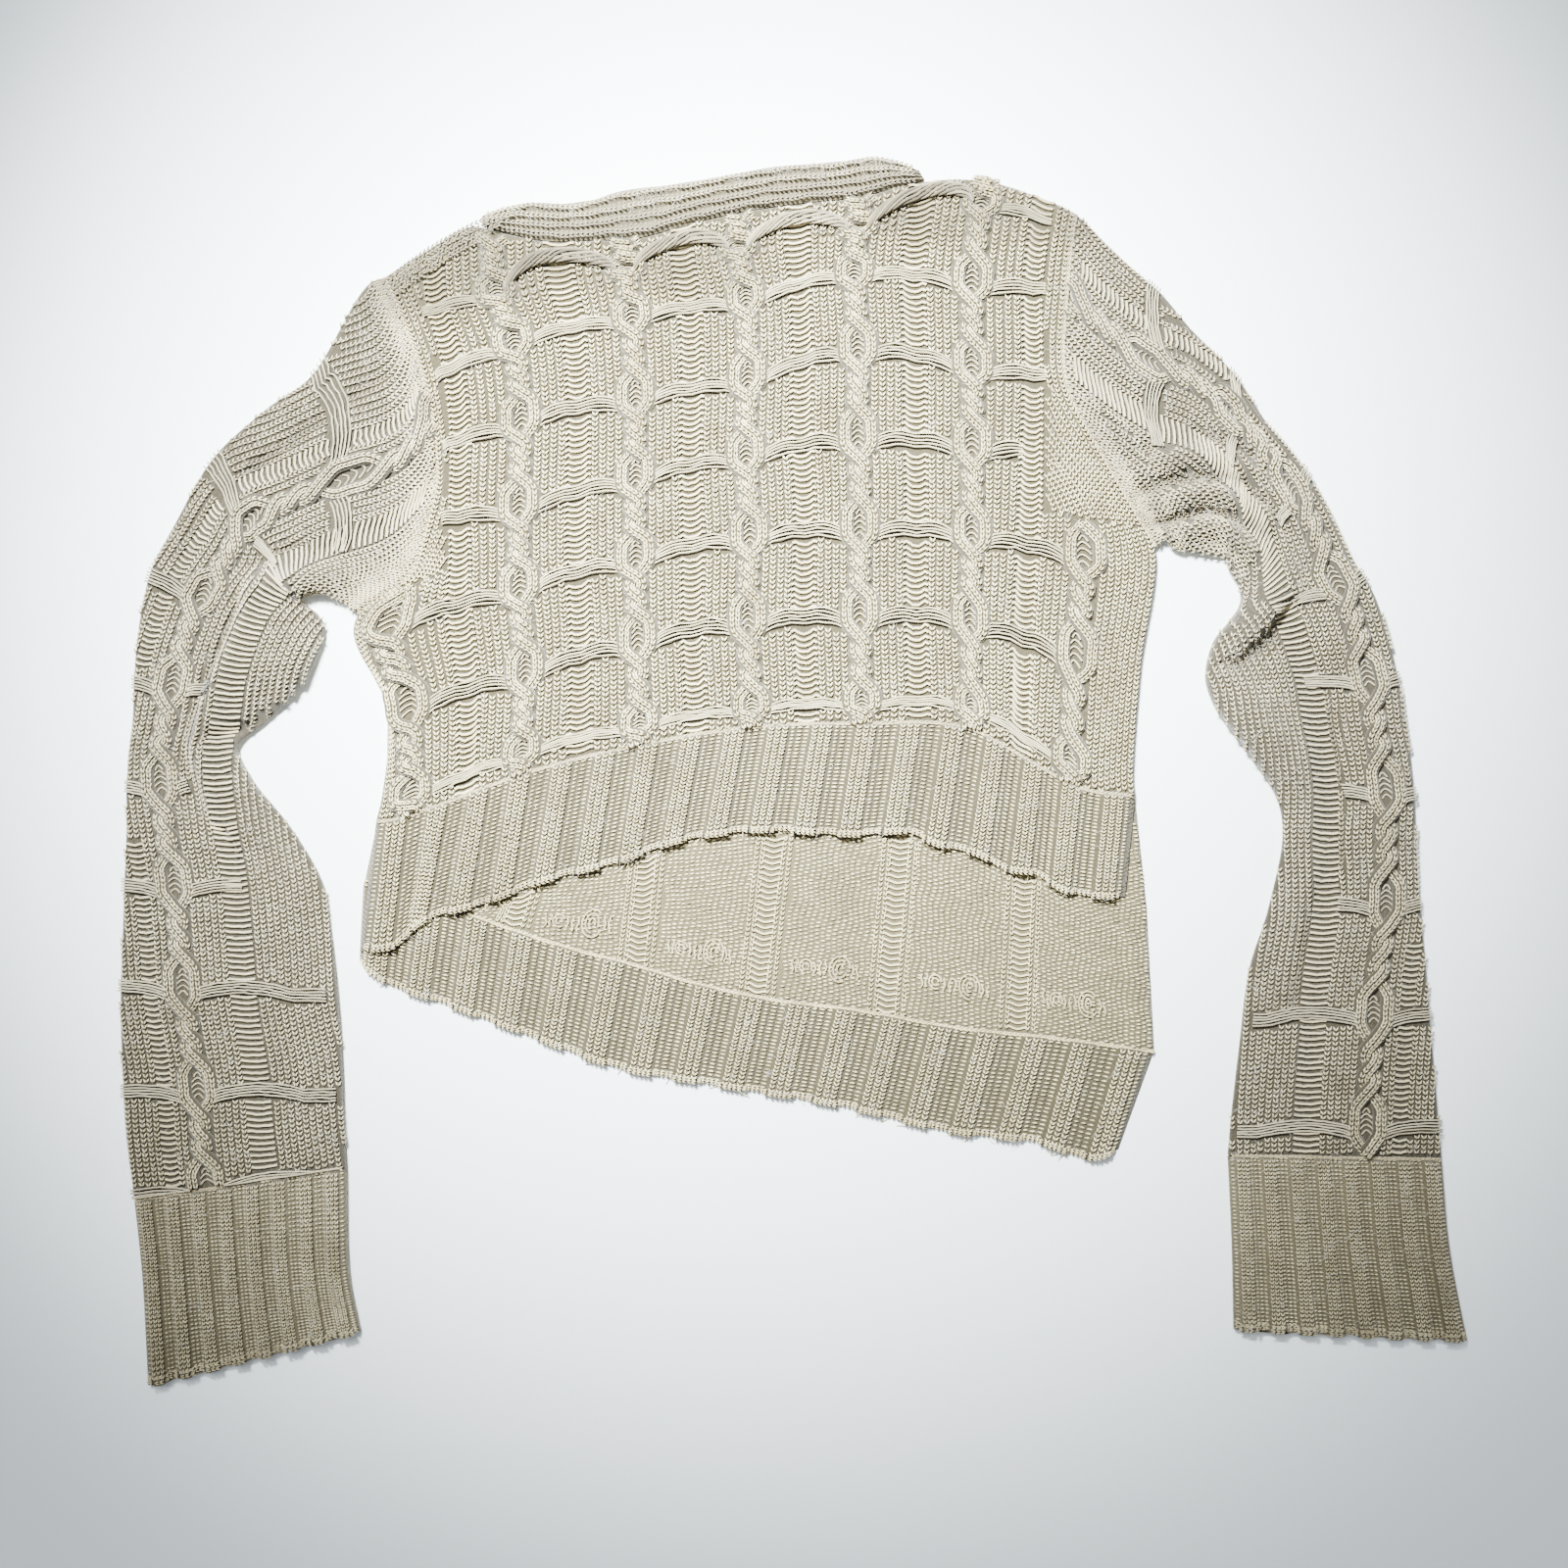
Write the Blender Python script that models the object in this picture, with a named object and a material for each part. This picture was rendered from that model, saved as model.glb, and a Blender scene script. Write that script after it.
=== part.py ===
"""Cropped cable knit pullover, laid flat with its front up.

The back lies on the ground, the front lies on the back, and the sleeves, cuffs and neckband are
flattened tubes with a flat underside. Cables, bars, ladders and ribs stand on the walls' outer faces
over plain insides. +X is to the right as the garment is looked down on, +Y runs from hem to neck and
+Z is up. Tables are in millimetres, from the middle of the laid garment.
"""

from collections import namedtuple

import bmesh
import bpy
import numpy as np
from mathutils import Vector

MM = 0.001

# Walls and layers
WALL = 2.8
LAYER_GAP = 0.3
SEAM_GAP = 0.5
FRONT_FLOOR = WALL + LAYER_GAP
FRONT_TOP = FRONT_FLOOR + WALL
TUBE_TOP = 6.6
TUBE_INSIDE_TOP = 4.0
TUBE_ROUNDING = 2.6
EDGE_DROP = 1.0

# Places along a row where grids are read finely before they are spaced out
FINE_COUNT = 400

# Cable pattern of the body and the sleeves
PITCH = 57.5
ROW_HEIGHT = 43.0
LEFT_MARGIN = 18.0
RIGHT_MARGIN = 34.0
CABLE_HALF = 8.0
STRAND_AT = 4.0
TWIST_HEIGHT = 2.2
EYE_HEIGHT = 2.9
CABLE_ROUNDNESS = 0.7
EYE_DIMPLE = 1.5
TWIST_SWING = 0.7
BAR_HEIGHT = 1.6
LADDER_DEPTH = -1.2
EYE_HALF = 11.0
BAR_HALF = 4.5
BAR_CLEAR = 0.3
LADDER_HALF = 0.05
SLEEVE_LADDER_AT = 0.4

# Where the front's grid has columns between cables, and rows round each bar and between bars
LADDER_COLUMNS = (0.38, 0.5, 0.62)
BAR_ROWS = (-0.24, -0.1, 0.1, 0.24)
BETWEEN_ROWS = (0.4, 0.6)
TOP_ROWS = (0.0, 0.08, 0.4)
FOOT_ROWS = (7.44, 7.5)

# Where a sleeve's grid has lines outside its cable and inside it, and rings round each eye
OUTER_LINES = (0.0, 0.33, 0.67)
INNER_LINES = (0.1, 0.2, 0.3, 0.4, 0.5, 0.6, 0.7, 0.8, 0.9, 1.0)
EYE_RINGS = (-10.5, -4.5, 4.5, 10.5)
END_RING = 1.5

# Room between a piece and one that bends round it
CLEAR_OF_HEM = 3.0
ARMHOLE_GAP = 0.8
NECK_GAP = 0.8

# A fold's side is spread by this much past its reach, and its ends keep this share of its height
FOLD_SPREAD = 1.25
FOLD_END_SHARE = 0.35

# Ribs of hems, cuffs and neckband
RIB_HEIGHT = 1.6
FRONT_RIBS = 18
BACK_RIBS = 17
CUFF_RIBS = 8
NECK_RIBS = 4
RIB_SHARE = 0.58
RIB_SLOPE = 0.08
SCALLOP = 1.2
FRONT_HEM_ROWS = (0.0, 0.04, 0.96, 1.0)
BACK_HEM_LAST_ROW = 0.96
BACK_HEM_FIRST_ROW = 0.06
CUFF_EDGE = 2.0
NECK_POINTS = 27

# Lattice of the front: a row for each bar, a column for each cable, with both side edges. Each
# entry is where that cable and that bar meet. l0 and l5 are the far sides of the outermost
# ladders: above the armpit they stay beside c1 and c5, and what lies past them is squeezed.
LatticeRow = namedtuple("LatticeRow", "row level left c0 l0 c1 c2 c3 c4 c5 l5 c6 right")
FRONT_LATTICE = (
    LatticeRow("top", 0.0, (-208, 252), (-202, 256), (-191, 263), (-154, 275), (-86, 271),
               (-28, 284), (33, 292), (97, 300), (133, 288), (138, 286), (143, 284)),
    LatticeRow("A", 1.0, (-199, 231), (-195, 233), (-188, 235), (-152, 245), (-86, 257),
               (-29, 267), (32, 277), (95, 291), (131, 280), (136, 278), (141, 275)),
    LatticeRow("B", 2.0, (-188, 199), (-185, 201), (-180, 204), (-143, 220), (-83, 233),
               (-25, 242), (30, 255), (90, 251), (127, 247), (132, 246), (138, 245)),
    LatticeRow("C", 3.0, (-182, 163), (-180, 165), (-176, 168), (-139, 181), (-81, 192),
               (-24, 202), (32, 217), (90, 208), (127, 203), (131, 202), (137, 201)),
    LatticeRow("D", 4.0, (-185, 132), (-182, 132), (-177, 131), (-140, 137), (-81, 152),
               (-25, 163), (32, 172), (90, 168), (127, 165), (138, 165), (154, 165)),
    LatticeRow("armpit", 4.5, (-195, 101), (-188, 105), (-177, 109), (-140, 116), (-81, 131),
               (-24, 143), (33, 149), (90, 145), (127, 140), (145, 137), (174, 130)),
    LatticeRow("E", 5.0, (-222, 80), (-203, 79), (-180, 85), (-140, 96), (-81, 111),
               (-23, 122), (33, 126), (90, 123), (126, 116), (146, 112), (183, 114)),
    LatticeRow("F", 6.0, (-207, 33), (-195, 36), (-174, 42), (-137, 53), (-80, 69),
               (-24, 79), (33, 82), (89, 79), (123, 68), (142, 62), (176, 54)),
    LatticeRow("G", 7.0, (-210, -12), (-193, -10), (-174, -3), (-139, 11), (-79, 25),
               (-22, 34), (34, 36), (90, 34), (121, 16), (139, 6), (172, -1)),
    LatticeRow("foot", 7.5, (-213, -25), (-193, -21), (-174, -14), (-139, -1), (-79, 14),
               (-22, 23), (34, 25), (90, 22), (121, 5), (139, -5), (173, -12)),
)
COLUMN_MARKS = (-1.0, 0.0, 0.36, 1.0, 2.0, 3.0, 4.0, 5.0, 5.64, 6.0, 7.0)

# The front's top edge, from left to right: left shoulder, neck and right shoulder. The lattice
# is drawn up to it, over the stretch above this level.
FRONT_TOP_EDGE = ((-208, 252), (-186, 266), (-163, 277.5), (-148, 274), (-125, 269.5),
                  (-103, 270), (-81, 271), (-53, 278.5), (-24, 285), (5, 289), (33, 292),
                  (62, 299.5), (80, 301.5), (97, 300.5), (120, 294), (137, 287), (143, 284))
DRAWN_LEVEL = 1.0
ARMPIT_LEVEL = 5.0
SIDE_COLUMNS_FROM = 4.6
SIDE_COLUMNS_FULL = 4.85

# Bottom edge of the front hem, and the back hem's seam and bottom edge, from left to right
FRONT_HEM_EDGE = ((-221, -91), (-202, -88), (-192, -78), (-158, -67), (-129, -56), (-91, -46),
                  (-58, -35), (-25, -30), (35, -32), (58, -31), (72, -37), (95, -43), (105, -49),
                  (122, -52), (136, -60), (168, -64))
BACK_HEM_SEAM = ((-220, -58), (-170, -71), (-132, -84), (-109, -91), (-85, -97), (-55, -106),
                 (-15, -115), (32, -121), (83, -130), (130, -135), (183, -142))
BACK_HEM_EDGE = ((-222, -96), (-212, -104), (-174, -119), (-132, -135), (-91, -150), (-46, -158),
                 (25, -170), (81, -183), (122, -188), (156, -196), (165, -192))

# Columns of the back's inside, where it shows below the front's hem: a ladder at each whole
# number and the back of a cable half way between. x_upper is beside the front hem's edge,
# x_lower at the back hem's seam.
InsideColumn = namedtuple("InsideColumn", "column x_upper x_lower")
INSIDE_COLUMNS = (
    InsideColumn(-1.3, -219, -220),
    InsideColumn(0.0, -138, -145),
    InsideColumn(1.0, -75, -81),
    InsideColumn(2.0, -10, -20),
    InsideColumn(3.0, 54, 46),
    InsideColumn(4.0, 117, 113),
    InsideColumn(5.1, 179, 183),
)
# Backs of the cable crossings that show there: column, and share of the way down to the seam
InsideKnot = namedtuple("InsideKnot", "column depth")
INSIDE_KNOTS = (InsideKnot(0.5, 0.65), InsideKnot(1.5, 0.78), InsideKnot(2.5, 0.78),
                InsideKnot(3.5, 0.76), InsideKnot(4.45, 0.74))
KNOT_HEIGHT = 1.1
KNOT_REACH = 0.2
INSIDE_LADDER_DEPTH = -0.8
SIDE_ROLL_HEIGHT = 2.2
SIDE_ROLL_AT = 4.97
SIDE_ROLL_HALF = 0.09

# The back's grid: levels under the front, shares of the way under the front hem, shares of the
# way down the part that shows, and columns beside each ladder and at both sides
BODY_LEVELS = (0.0, 0.2, 0.5, 0.75, 1.0, 1.5, 2.0, 2.5, 3.0, 3.5, 3.8, 4.0, 4.15, 4.3, 4.4, 4.5,
               4.6, 4.7, 4.8, 4.9, 5.0, 5.1, 5.25, 5.5, 6.0, 6.5, 7.0)
UNDER_HEM_ROWS = (0.3, 0.65)
SHOWN_ROWS = (0.0, 0.12, 0.4, 0.6, 0.75, 0.9, 0.97, 1.0)
INSIDE_LADDERS = 5
BESIDE_LADDER = (-0.09, 0.0, 0.09, 0.32, 0.5, 0.68)
LEFT_COLUMNS = (-1.3, -1.26, -0.7, -0.2)
RIGHT_COLUMNS = (4.88, 4.97, 5.06, 5.1)

# Neckband's upper edge, and from where to where its lower edge follows the front's top edge
NECKBAND_TOP = ((-159, 283), (-140, 289), (-106, 290), (-91, 295), (-62, 299), (-38, 303),
                (-10, 308), (19, 310), (45, 312.5), (56, 309), (63, 306))
NECKBAND_FROM_X = -159.0
NECKBAND_TO_X = 66.0

# Sleeves: a row for each cross-section, from the armhole to the cuff. cable_at is the main
# cable's place across the sleeve, from 0 at the outer edge to 1 at the inner one.
Section = namedtuple("Section", "outer inner cable_at")
LEFT_SLEEVE = (
    Section((-208, 252), (-222, 80), 0.36),
    Section((-224, 239), (-233, 88), 0.53),
    Section((-244, 204), (-243, 91), 0.49),
    Section((-270, 184), (-251, 88), 0.50),
    Section((-295, 161), (-252, 85), 0.43),
    Section((-315, 127), (-242, 80), 0.37),
    Section((-327, 104), (-239, 71), 0.32),
    Section((-333, 79), (-243, 58), 0.28),
    Section((-336, 51), (-251, 43), 0.25),
    Section((-337, 26), (-270, 25), 0.27),
    Section((-339, 9), (-283, 13), 0.30),
    Section((-340, -6), (-276, -3), 0.28),
    Section((-340, -28), (-257, -27), 0.25),
    Section((-341, -54), (-241, -54), 0.26),
    Section((-342, -83), (-236, -81), 0.28),
    Section((-343, -116), (-232, -118), 0.30),
    Section((-342, -153), (-230, -151), 0.34),
    Section((-340, -186), (-229, -184), 0.35),
    Section((-336, -218), (-228, -201), 0.35),
)
RIGHT_SLEEVE = (
    Section((142, 281), (183, 114), 0.21),
    Section((155, 269), (188, 118), 0.25),
    Section((172, 254), (193, 114), 0.27),
    Section((188, 241), (198, 112), 0.28),
    Section((200, 227), (205, 111), 0.24),
    Section((211, 216), (212, 110), 0.23),
    Section((225, 201), (218, 109), 0.22),
    Section((240, 178), (221, 102), 0.17),
    Section((256, 159), (226, 93), 0.14),
    Section((270, 137), (226, 85), 0.17),
    Section((283, 110), (220, 76), 0.16),
    Section((294, 92), (213, 67), 0.18),
    Section((301, 72), (209, 54), 0.17),
    Section((307, 47), (210, 41), 0.16),
    Section((311, 24), (218, 26), 0.18),
    Section((313, 9), (230, 10), 0.19),
    Section((315, -12), (244, -11), 0.21),
    Section((316, -36), (248, -31), 0.24),
    Section((318, -66), (241, -68), 0.23),
    Section((321, -101), (231, -100), 0.28),
    Section((324, -138), (226, -138), 0.32),
    Section((327, -173), (222, -173), 0.35),
    Section((329, -197), (220, -195), 0.36),
)
ARMHOLE_BLEND = 80.0

# Cuffs: the same sections, from the sleeve to the open end
LEFT_CUFF = (
    Section((-336, -218), (-228, -201), 0.35),
    Section((-332, -257), (-227, -250), 0.35),
    Section((-329, -312), (-221, -284), 0.35),
)
RIGHT_CUFF = (
    Section((329, -197), (220, -195), 0.36),
    Section((333, -241), (222, -237), 0.36),
    Section((342, -289), (223, -283), 0.36),
)

# Where the eyes of the main cable lie, measured along it from the armhole, and how far across
# the sleeve the bar of each eye runs before a fold hides it
Eye = namedtuple("Eye", "along bar_to")
LEFT_EYES = (Eye(3, 0.8), Eye(46, 0.8), Eye(91, 0.75), Eye(135, 0.5), Eye(183, 0.5), Eye(234, 0.5),
             Eye(286, 0.6), Eye(338, 0.95), Eye(391, 0.97), Eye(440, 0.97))
RIGHT_EYES = (Eye(3, 0.5), Eye(49, 0.6), Eye(94, 0.5), Eye(144, 0.45), Eye(196, 0.5), Eye(247, 0.5),
              Eye(305, 0.5), Eye(362, 0.55), Eye(419, 0.95), Eye(476, 0.97))

# Largest folds: a line on the cloth, its height over the cloth or depth below it, and how far
# it reaches to the left and to the right of the line as the line is followed
Fold = namedtuple("Fold", "name line height left_reach right_reach")
LEFT_FOLDS = (
    Fold("shoulder groove", ((-210, 199), (-255, 168), (-291, 139), (-314, 102)), -1.8, 5, 5),
    Fold("armpit roll", ((-232, 98), (-256, 98), (-272, 95)), 5.0, 12, 9),
    Fold("elbow ridge", ((-272, 95), (-282, 70), (-296, 36), (-303, 14), (-297, -6), (-290, -24)),
         6.5, 22, 6),
    Fold("elbow lobe", ((-256, 74), (-254, 60), (-262, 42)), 5.0, 14, 16),
    Fold("lobe crease", ((-262, 29), (-279, 22), (-296, 18)), -3.5, 4, 5),
)
RIGHT_FOLDS = (
    Fold("first armpit fold", ((176, 152), (200, 160), (228, 152)), 3.6, 7, 7),
    Fold("second armpit fold", ((182, 134), (210, 141), (240, 128)), 4.6, 7, 7),
    Fold("third armpit fold", ((192, 120), (214, 124), (232, 112)), 4.0, 6, 7),
    Fold("tucked fold", ((252, 96), (238, 78), (222, 62)), 6.5, 6, 14),
    Fold("tuck groove", ((252, 84), (238, 66), (222, 53)), -3.5, 5, 4),
    Fold("elbow lobe", ((222, 44), (232, 26), (248, 4)), 5.0, 18, 16),
    Fold("long groove", ((255, 72), (264, 45), (271, 26), (274, -8), (274, -50), (266, -70),
                         (253, -123)), -2.4, 5, 6),
)

# Yarn colours, one for each piece
Yarn = namedtuple("Yarn", "red green blue rough")
YARNS = {
    "front_panel": Yarn(0.66, 0.61, 0.51, 0.95),
    "back_panel": Yarn(0.60, 0.55, 0.45, 0.95),
    "front_hem_rib": Yarn(0.66, 0.61, 0.50, 0.95),
    "back_hem_rib": Yarn(0.60, 0.54, 0.44, 0.95),
    "left_sleeve": Yarn(0.64, 0.59, 0.49, 0.95),
    "right_sleeve": Yarn(0.65, 0.60, 0.50, 0.95),
    "left_cuff": Yarn(0.62, 0.57, 0.47, 0.95),
    "right_cuff": Yarn(0.62, 0.57, 0.47, 0.95),
    "neckband": Yarn(0.66, 0.60, 0.49, 0.95),
}


def clear_scene():
    for item in list(bpy.data.objects):
        bpy.data.objects.remove(item)


def smooth_step(low, high, value):
    share = np.clip((value - low) / (high - low), 0.0, 1.0)
    return share * share * (3.0 - 2.0 * share)


def smooth_curve(marks, values, at):
    """Cubic curve through values (first axis) placed at rising marks, read at each of at."""
    marks = np.asarray(marks, float)
    values = np.asarray(values, float)
    at = np.clip(np.asarray(at, float), marks[0], marks[-1])
    slopes = np.gradient(values, marks, axis=0)
    low = np.clip(np.searchsorted(marks, at, side="right") - 1, 0, len(marks) - 2)
    span = marks[low + 1] - marks[low]
    f = (at - marks[low]) / span
    shape = (-1,) + (1,) * (values.ndim - 1)
    f, span = f.reshape(shape), span.reshape(shape)
    return ((1 + 2 * f) * (1 - f) ** 2 * values[low] + f * (1 - f) ** 2 * span * slopes[low]
            + f * f * (3 - 2 * f) * values[low + 1] - f * f * (1 - f) * span * slopes[low + 1])


def run_lengths(points):
    steps = np.linalg.norm(np.diff(points, axis=0), axis=1)
    return np.concatenate([[0.0], np.cumsum(steps)])


def fine_curve(points, count=FINE_COUNT):
    """A smooth curve through points, as many points close together."""
    points = np.asarray(points, float)
    marks = run_lengths(points)
    return smooth_curve(marks, points, np.linspace(0.0, marks[-1], count))


def along_row(row, shares):
    """Points at the given shares of the length of a row of points."""
    lengths = run_lengths(row)
    wanted = np.asarray(shares) * lengths[-1]
    return np.stack([np.interp(wanted, lengths, row[:, k]) for k in range(2)], axis=1)


def even_curve(points, shares):
    return along_row(fine_curve(points), shares)


def edge_height(edge, x):
    """Y of a left-to-right edge at x."""
    fine = fine_curve(edge)
    return np.interp(x, fine[:, 0], fine[:, 1])


LEVELS = np.array([row.level for row in FRONT_LATTICE])
LATTICE = np.array([row[2:] for row in FRONT_LATTICE], float)


def front_points(levels, columns):
    """Places on the front, one row for each level and one column for each cable coordinate."""
    rows = smooth_curve(LEVELS, LATTICE, levels)
    places = np.stack([smooth_curve(COLUMN_MARKS, row, columns) for row in rows])
    top = smooth_curve(COLUMN_MARKS, LATTICE[0], columns)
    rise = edge_height(FRONT_TOP_EDGE, top[:, 0]) - top[:, 1]
    drawn = np.clip(1.0 - np.asarray(levels) / DRAWN_LEVEL, 0.0, 1.0) ** 2
    places[..., 1] += drawn[:, None] * rise[None, :]
    return places


def armhole(side, shares):
    """Armhole seam from shoulder to armpit; side is 0 for the left edge and -1 for the right."""
    levels = np.linspace(0.0, ARMPIT_LEVEL, FINE_COUNT)
    return along_row(smooth_curve(LEVELS, LATTICE[:, side], levels), shares)


def cable_relief(across, along, period):
    """Height of a cable: an eye where it meets a bar, and two strands that cross between eyes."""
    edge = np.clip(1.0 - (np.abs(across) / CABLE_HALF) ** 2, 0.0, 1.0) ** CABLE_ROUNDNESS
    turn = np.cos(4.0 * np.pi * along / period)
    rope = TWIST_HEIGHT * edge + TWIST_SWING * np.sign(across) * turn * edge
    dimple = EYE_DIMPLE * np.exp(-1.5 * (across / STRAND_AT) ** 2 - (2.0 * along / EYE_HALF) ** 2)
    eye = EYE_HEIGHT * edge - dimple
    return np.where(np.abs(along) < EYE_HALF, eye, rope)


def body_relief(columns, levels):
    """Raised pattern of the front over its plain cloth, at cable coordinates and levels."""
    s, t = np.meshgrid(columns, levels)
    column = np.clip(np.round(s), 0, 6)
    row = np.clip(np.round(t), 1, 7)
    across = np.where(s < 0, s * LEFT_MARGIN, np.where(s > 6, (s - 6) * RIGHT_MARGIN,
                                                       (s - column) * PITCH))
    along = (t - row) * ROW_HEIGHT
    strength = np.where((column == 0) | (column == 6),
                        smooth_step(SIDE_COLUMNS_FROM, SIDE_COLUMNS_FULL, t), 1.0)
    strength = strength * smooth_step(0.1, 0.6, t)
    cable = cable_relief(across, along, ROW_HEIGHT) * strength
    bar = np.where(np.abs(along) <= BAR_HALF + BAR_CLEAR, BAR_HEIGHT, 0.0)
    bar = np.where((s < -0.9) | (s > 6.9), 0.0, bar)
    in_ladder = (np.abs(s - np.floor(s) - 0.5) < LADDER_HALF) & (s > 0) & (s < 6) & (t > 0.3)
    ladder = np.where(in_ladder & (bar == 0), LADDER_DEPTH, 0.0)
    on_cable = (np.abs(across) < CABLE_HALF) & (strength > 0.2)
    return np.where(on_cable, np.maximum(cable, bar), bar + ladder)


def fold_relief(points, folds):
    """Height that the folds give to each of a grid of places."""
    height = np.zeros(points.shape[:-1])
    for fold in folds:
        fine = fine_curve(fold.line, 40)
        starts, steps = fine[:-1], np.diff(fine, axis=0)
        best = np.full(height.shape, 1e9)
        turned = np.zeros(height.shape)
        share = np.zeros(height.shape)
        for k, (start, step) in enumerate(zip(starts, steps)):
            offset = points - start
            f = np.clip((offset @ step) / (step @ step), 0.0, 1.0)
            away = offset - f[..., None] * step
            distance = np.linalg.norm(away, axis=-1)
            side = step[0] * away[..., 1] - step[1] * away[..., 0]
            nearer = distance < best
            best = np.where(nearer, distance, best)
            turned = np.where(nearer, side, turned)
            share = np.where(nearer, (k + f) / len(steps), share)
        reach = np.where(turned > 0, fold.left_reach, fold.right_reach)
        profile = np.clip(1.0 - (best / reach / FOLD_SPREAD) ** 2, 0.0, 1.0) ** 2
        middle = np.sin(np.pi * np.clip(share, 0.03, 0.97)) ** 0.6
        ends = FOLD_END_SHARE + (1.0 - FOLD_END_SHARE) * middle
        height += fold.height * profile * ends
    return height


class Sleeve:
    """A flattened tube through sections, with its main cable, bars and folds."""

    def __init__(self, sections, eyes, folds, side):
        self.outer = np.array([s.outer for s in sections], float)
        self.inner = np.array([s.inner for s in sections], float)
        width = np.linalg.norm(self.inner - self.outer, axis=1)
        room = (CABLE_HALF + 2 * TUBE_ROUNDING) / width
        self.cable = np.maximum([s.cable_at for s in sections], room)
        self.eyes = eyes
        self.folds = folds
        self.side = side
        middle = self.outer + (self.inner - self.outer) * self.cable[:, None]
        self.marks = run_lengths(middle)
        self.length = self.marks[-1]

    def frame(self, along):
        outer = smooth_curve(self.marks, self.outer, along)
        inner = smooth_curve(self.marks, self.inner, along)
        cable = smooth_curve(self.marks, self.cable, along)
        return outer, inner, cable

    def place(self, along, across):
        """Places for rings at along, with across shares given for each ring."""
        outer, inner, _ = self.frame(along)
        points = outer[:, None] + (inner - outer)[:, None] * across[..., None]
        if self.side is None:
            return points
        fade = 1.0 - smooth_step(0.0, ARMHOLE_BLEND, np.asarray(along))
        for k, amount in enumerate(fade):
            if amount > 0.0:
                chord = self.outer[0] + (self.inner[0] - self.outer[0]) * across[k][:, None]
                points[k] += (armhole(self.side, across[k]) - chord) * amount
        return points


def sleeve_across(shape, along):
    """Across shares of each ring: lines outside the cable, five on it, and lines inside it."""
    outer, inner, cable = shape.frame(along)
    width = np.linalg.norm(inner - outer, axis=1)
    rings = []
    for middle, wide in zip(cable, width):
        edge = TUBE_ROUNDING / wide
        half = CABLE_HALF / wide
        strands = middle + half * np.array([-1.0, -0.5, 0.0, 0.5, 1.0])
        outside = edge + np.array(OUTER_LINES) * (strands[0] - edge)
        inside = strands[-1] + np.array(INNER_LINES) * (1.0 - edge - strands[-1])
        rings.append(np.concatenate([[0.0], outside, strands, inside, [1.0]]))
    return np.array(rings), width


def sleeve_relief(shape, along, across, width):
    cable = shape.frame(along)[2]
    off = (across - cable[:, None]) * width[:, None]
    marks = np.array([eye.along for eye in shape.eyes], float)
    nearest = np.argmin(np.abs(along[:, None] - marks[None]), axis=1)
    gap = (along - marks[nearest])[:, None] + 0.0 * across
    reach = np.array([eye.bar_to for eye in shape.eyes])[nearest][:, None]
    period = np.mean(np.diff(marks))
    relief = cable_relief(off, gap, period)
    bar = np.where(np.abs(gap) <= BAR_HALF + BAR_CLEAR, BAR_HEIGHT, 0.0)
    bar = np.where(across > reach, 0.0, bar)
    room = across - cable[:, None] - CABLE_HALF / width[:, None]
    room = room / (1.0 - cable[:, None] - (CABLE_HALF + TUBE_ROUNDING) / width[:, None])
    in_ladder = np.abs(room - SLEEVE_LADDER_AT) < 0.03
    ladder = np.where(in_ladder & (bar == 0), LADDER_DEPTH, 0.0)
    on_cable = np.abs(off) < CABLE_HALF - 0.01
    return np.where(on_cable, np.maximum(relief, bar), bar + ladder)


def add_material(obj, name):
    yarn = YARNS[name]
    material = bpy.data.materials.new(name + "_yarn")
    material.use_nodes = True
    shader = material.node_tree.nodes["Principled BSDF"]
    shader.inputs["Base Color"].default_value = (yarn.red, yarn.green, yarn.blue, 1.0)
    shader.inputs["Roughness"].default_value = yarn.rough
    shader.inputs["Metallic"].default_value = 0.0
    obj.data.materials.append(material)


def finish_piece(bm, name):
    bmesh.ops.recalc_face_normals(bm, faces=bm.faces)
    mesh = bpy.data.meshes.new(name)
    bm.to_mesh(mesh)
    bm.free()
    obj = bpy.data.objects.new(name, mesh)
    bpy.context.scene.collection.objects.link(obj)
    add_material(obj, name)
    return obj


def plate(name, places, tops, floor):
    """A laid panel: a grid of places at their top heights, over one flat underside."""
    rows, columns = tops.shape
    bm = bmesh.new()
    grid = [[bm.verts.new((*(places[j, i] * MM), tops[j, i] * MM)) for i in range(columns)]
            for j in range(rows)]
    for j in range(rows - 1):
        for i in range(columns - 1):
            face = bm.faces.new((grid[j][i], grid[j + 1][i], grid[j + 1][i + 1], grid[j][i + 1]))
            face.smooth = True
    rim = [grid[0][i] for i in range(columns)]
    rim += [grid[j][-1] for j in range(1, rows)]
    rim += [grid[-1][i] for i in range(columns - 2, -1, -1)]
    rim += [grid[j][0] for j in range(rows - 2, 0, -1)]
    foot = [bm.verts.new((vert.co.x, vert.co.y, floor * MM)) for vert in rim]
    for k, vert in enumerate(rim):
        after = (k + 1) % len(rim)
        bm.faces.new((vert, rim[after], foot[after], foot[k]))
    bm.faces.new(foot)
    return finish_piece(bm, name)


def tube(name, rings, insides):
    """A flattened tube: closed rings outside and inside, joined at both open ends."""
    bm = bmesh.new()
    outer = [[bm.verts.new(point * MM) for point in ring] for ring in rings]
    inner = [[bm.verts.new(point * MM) for point in ring] for ring in insides]
    count = len(outer[0])
    for layer in (outer, inner):
        for before, after in zip(layer, layer[1:]):
            for k in range(count):
                n = (k + 1) % count
                face = bm.faces.new((before[k], before[n], after[n], after[k]))
                face.smooth = True
    for out, inn in ((outer[0], inner[0]), (outer[-1], inner[-1])):
        for k in range(count):
            n = (k + 1) % count
            bm.faces.new((out[k], out[n], inn[n], inn[k]))
    return finish_piece(bm, name)


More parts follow.
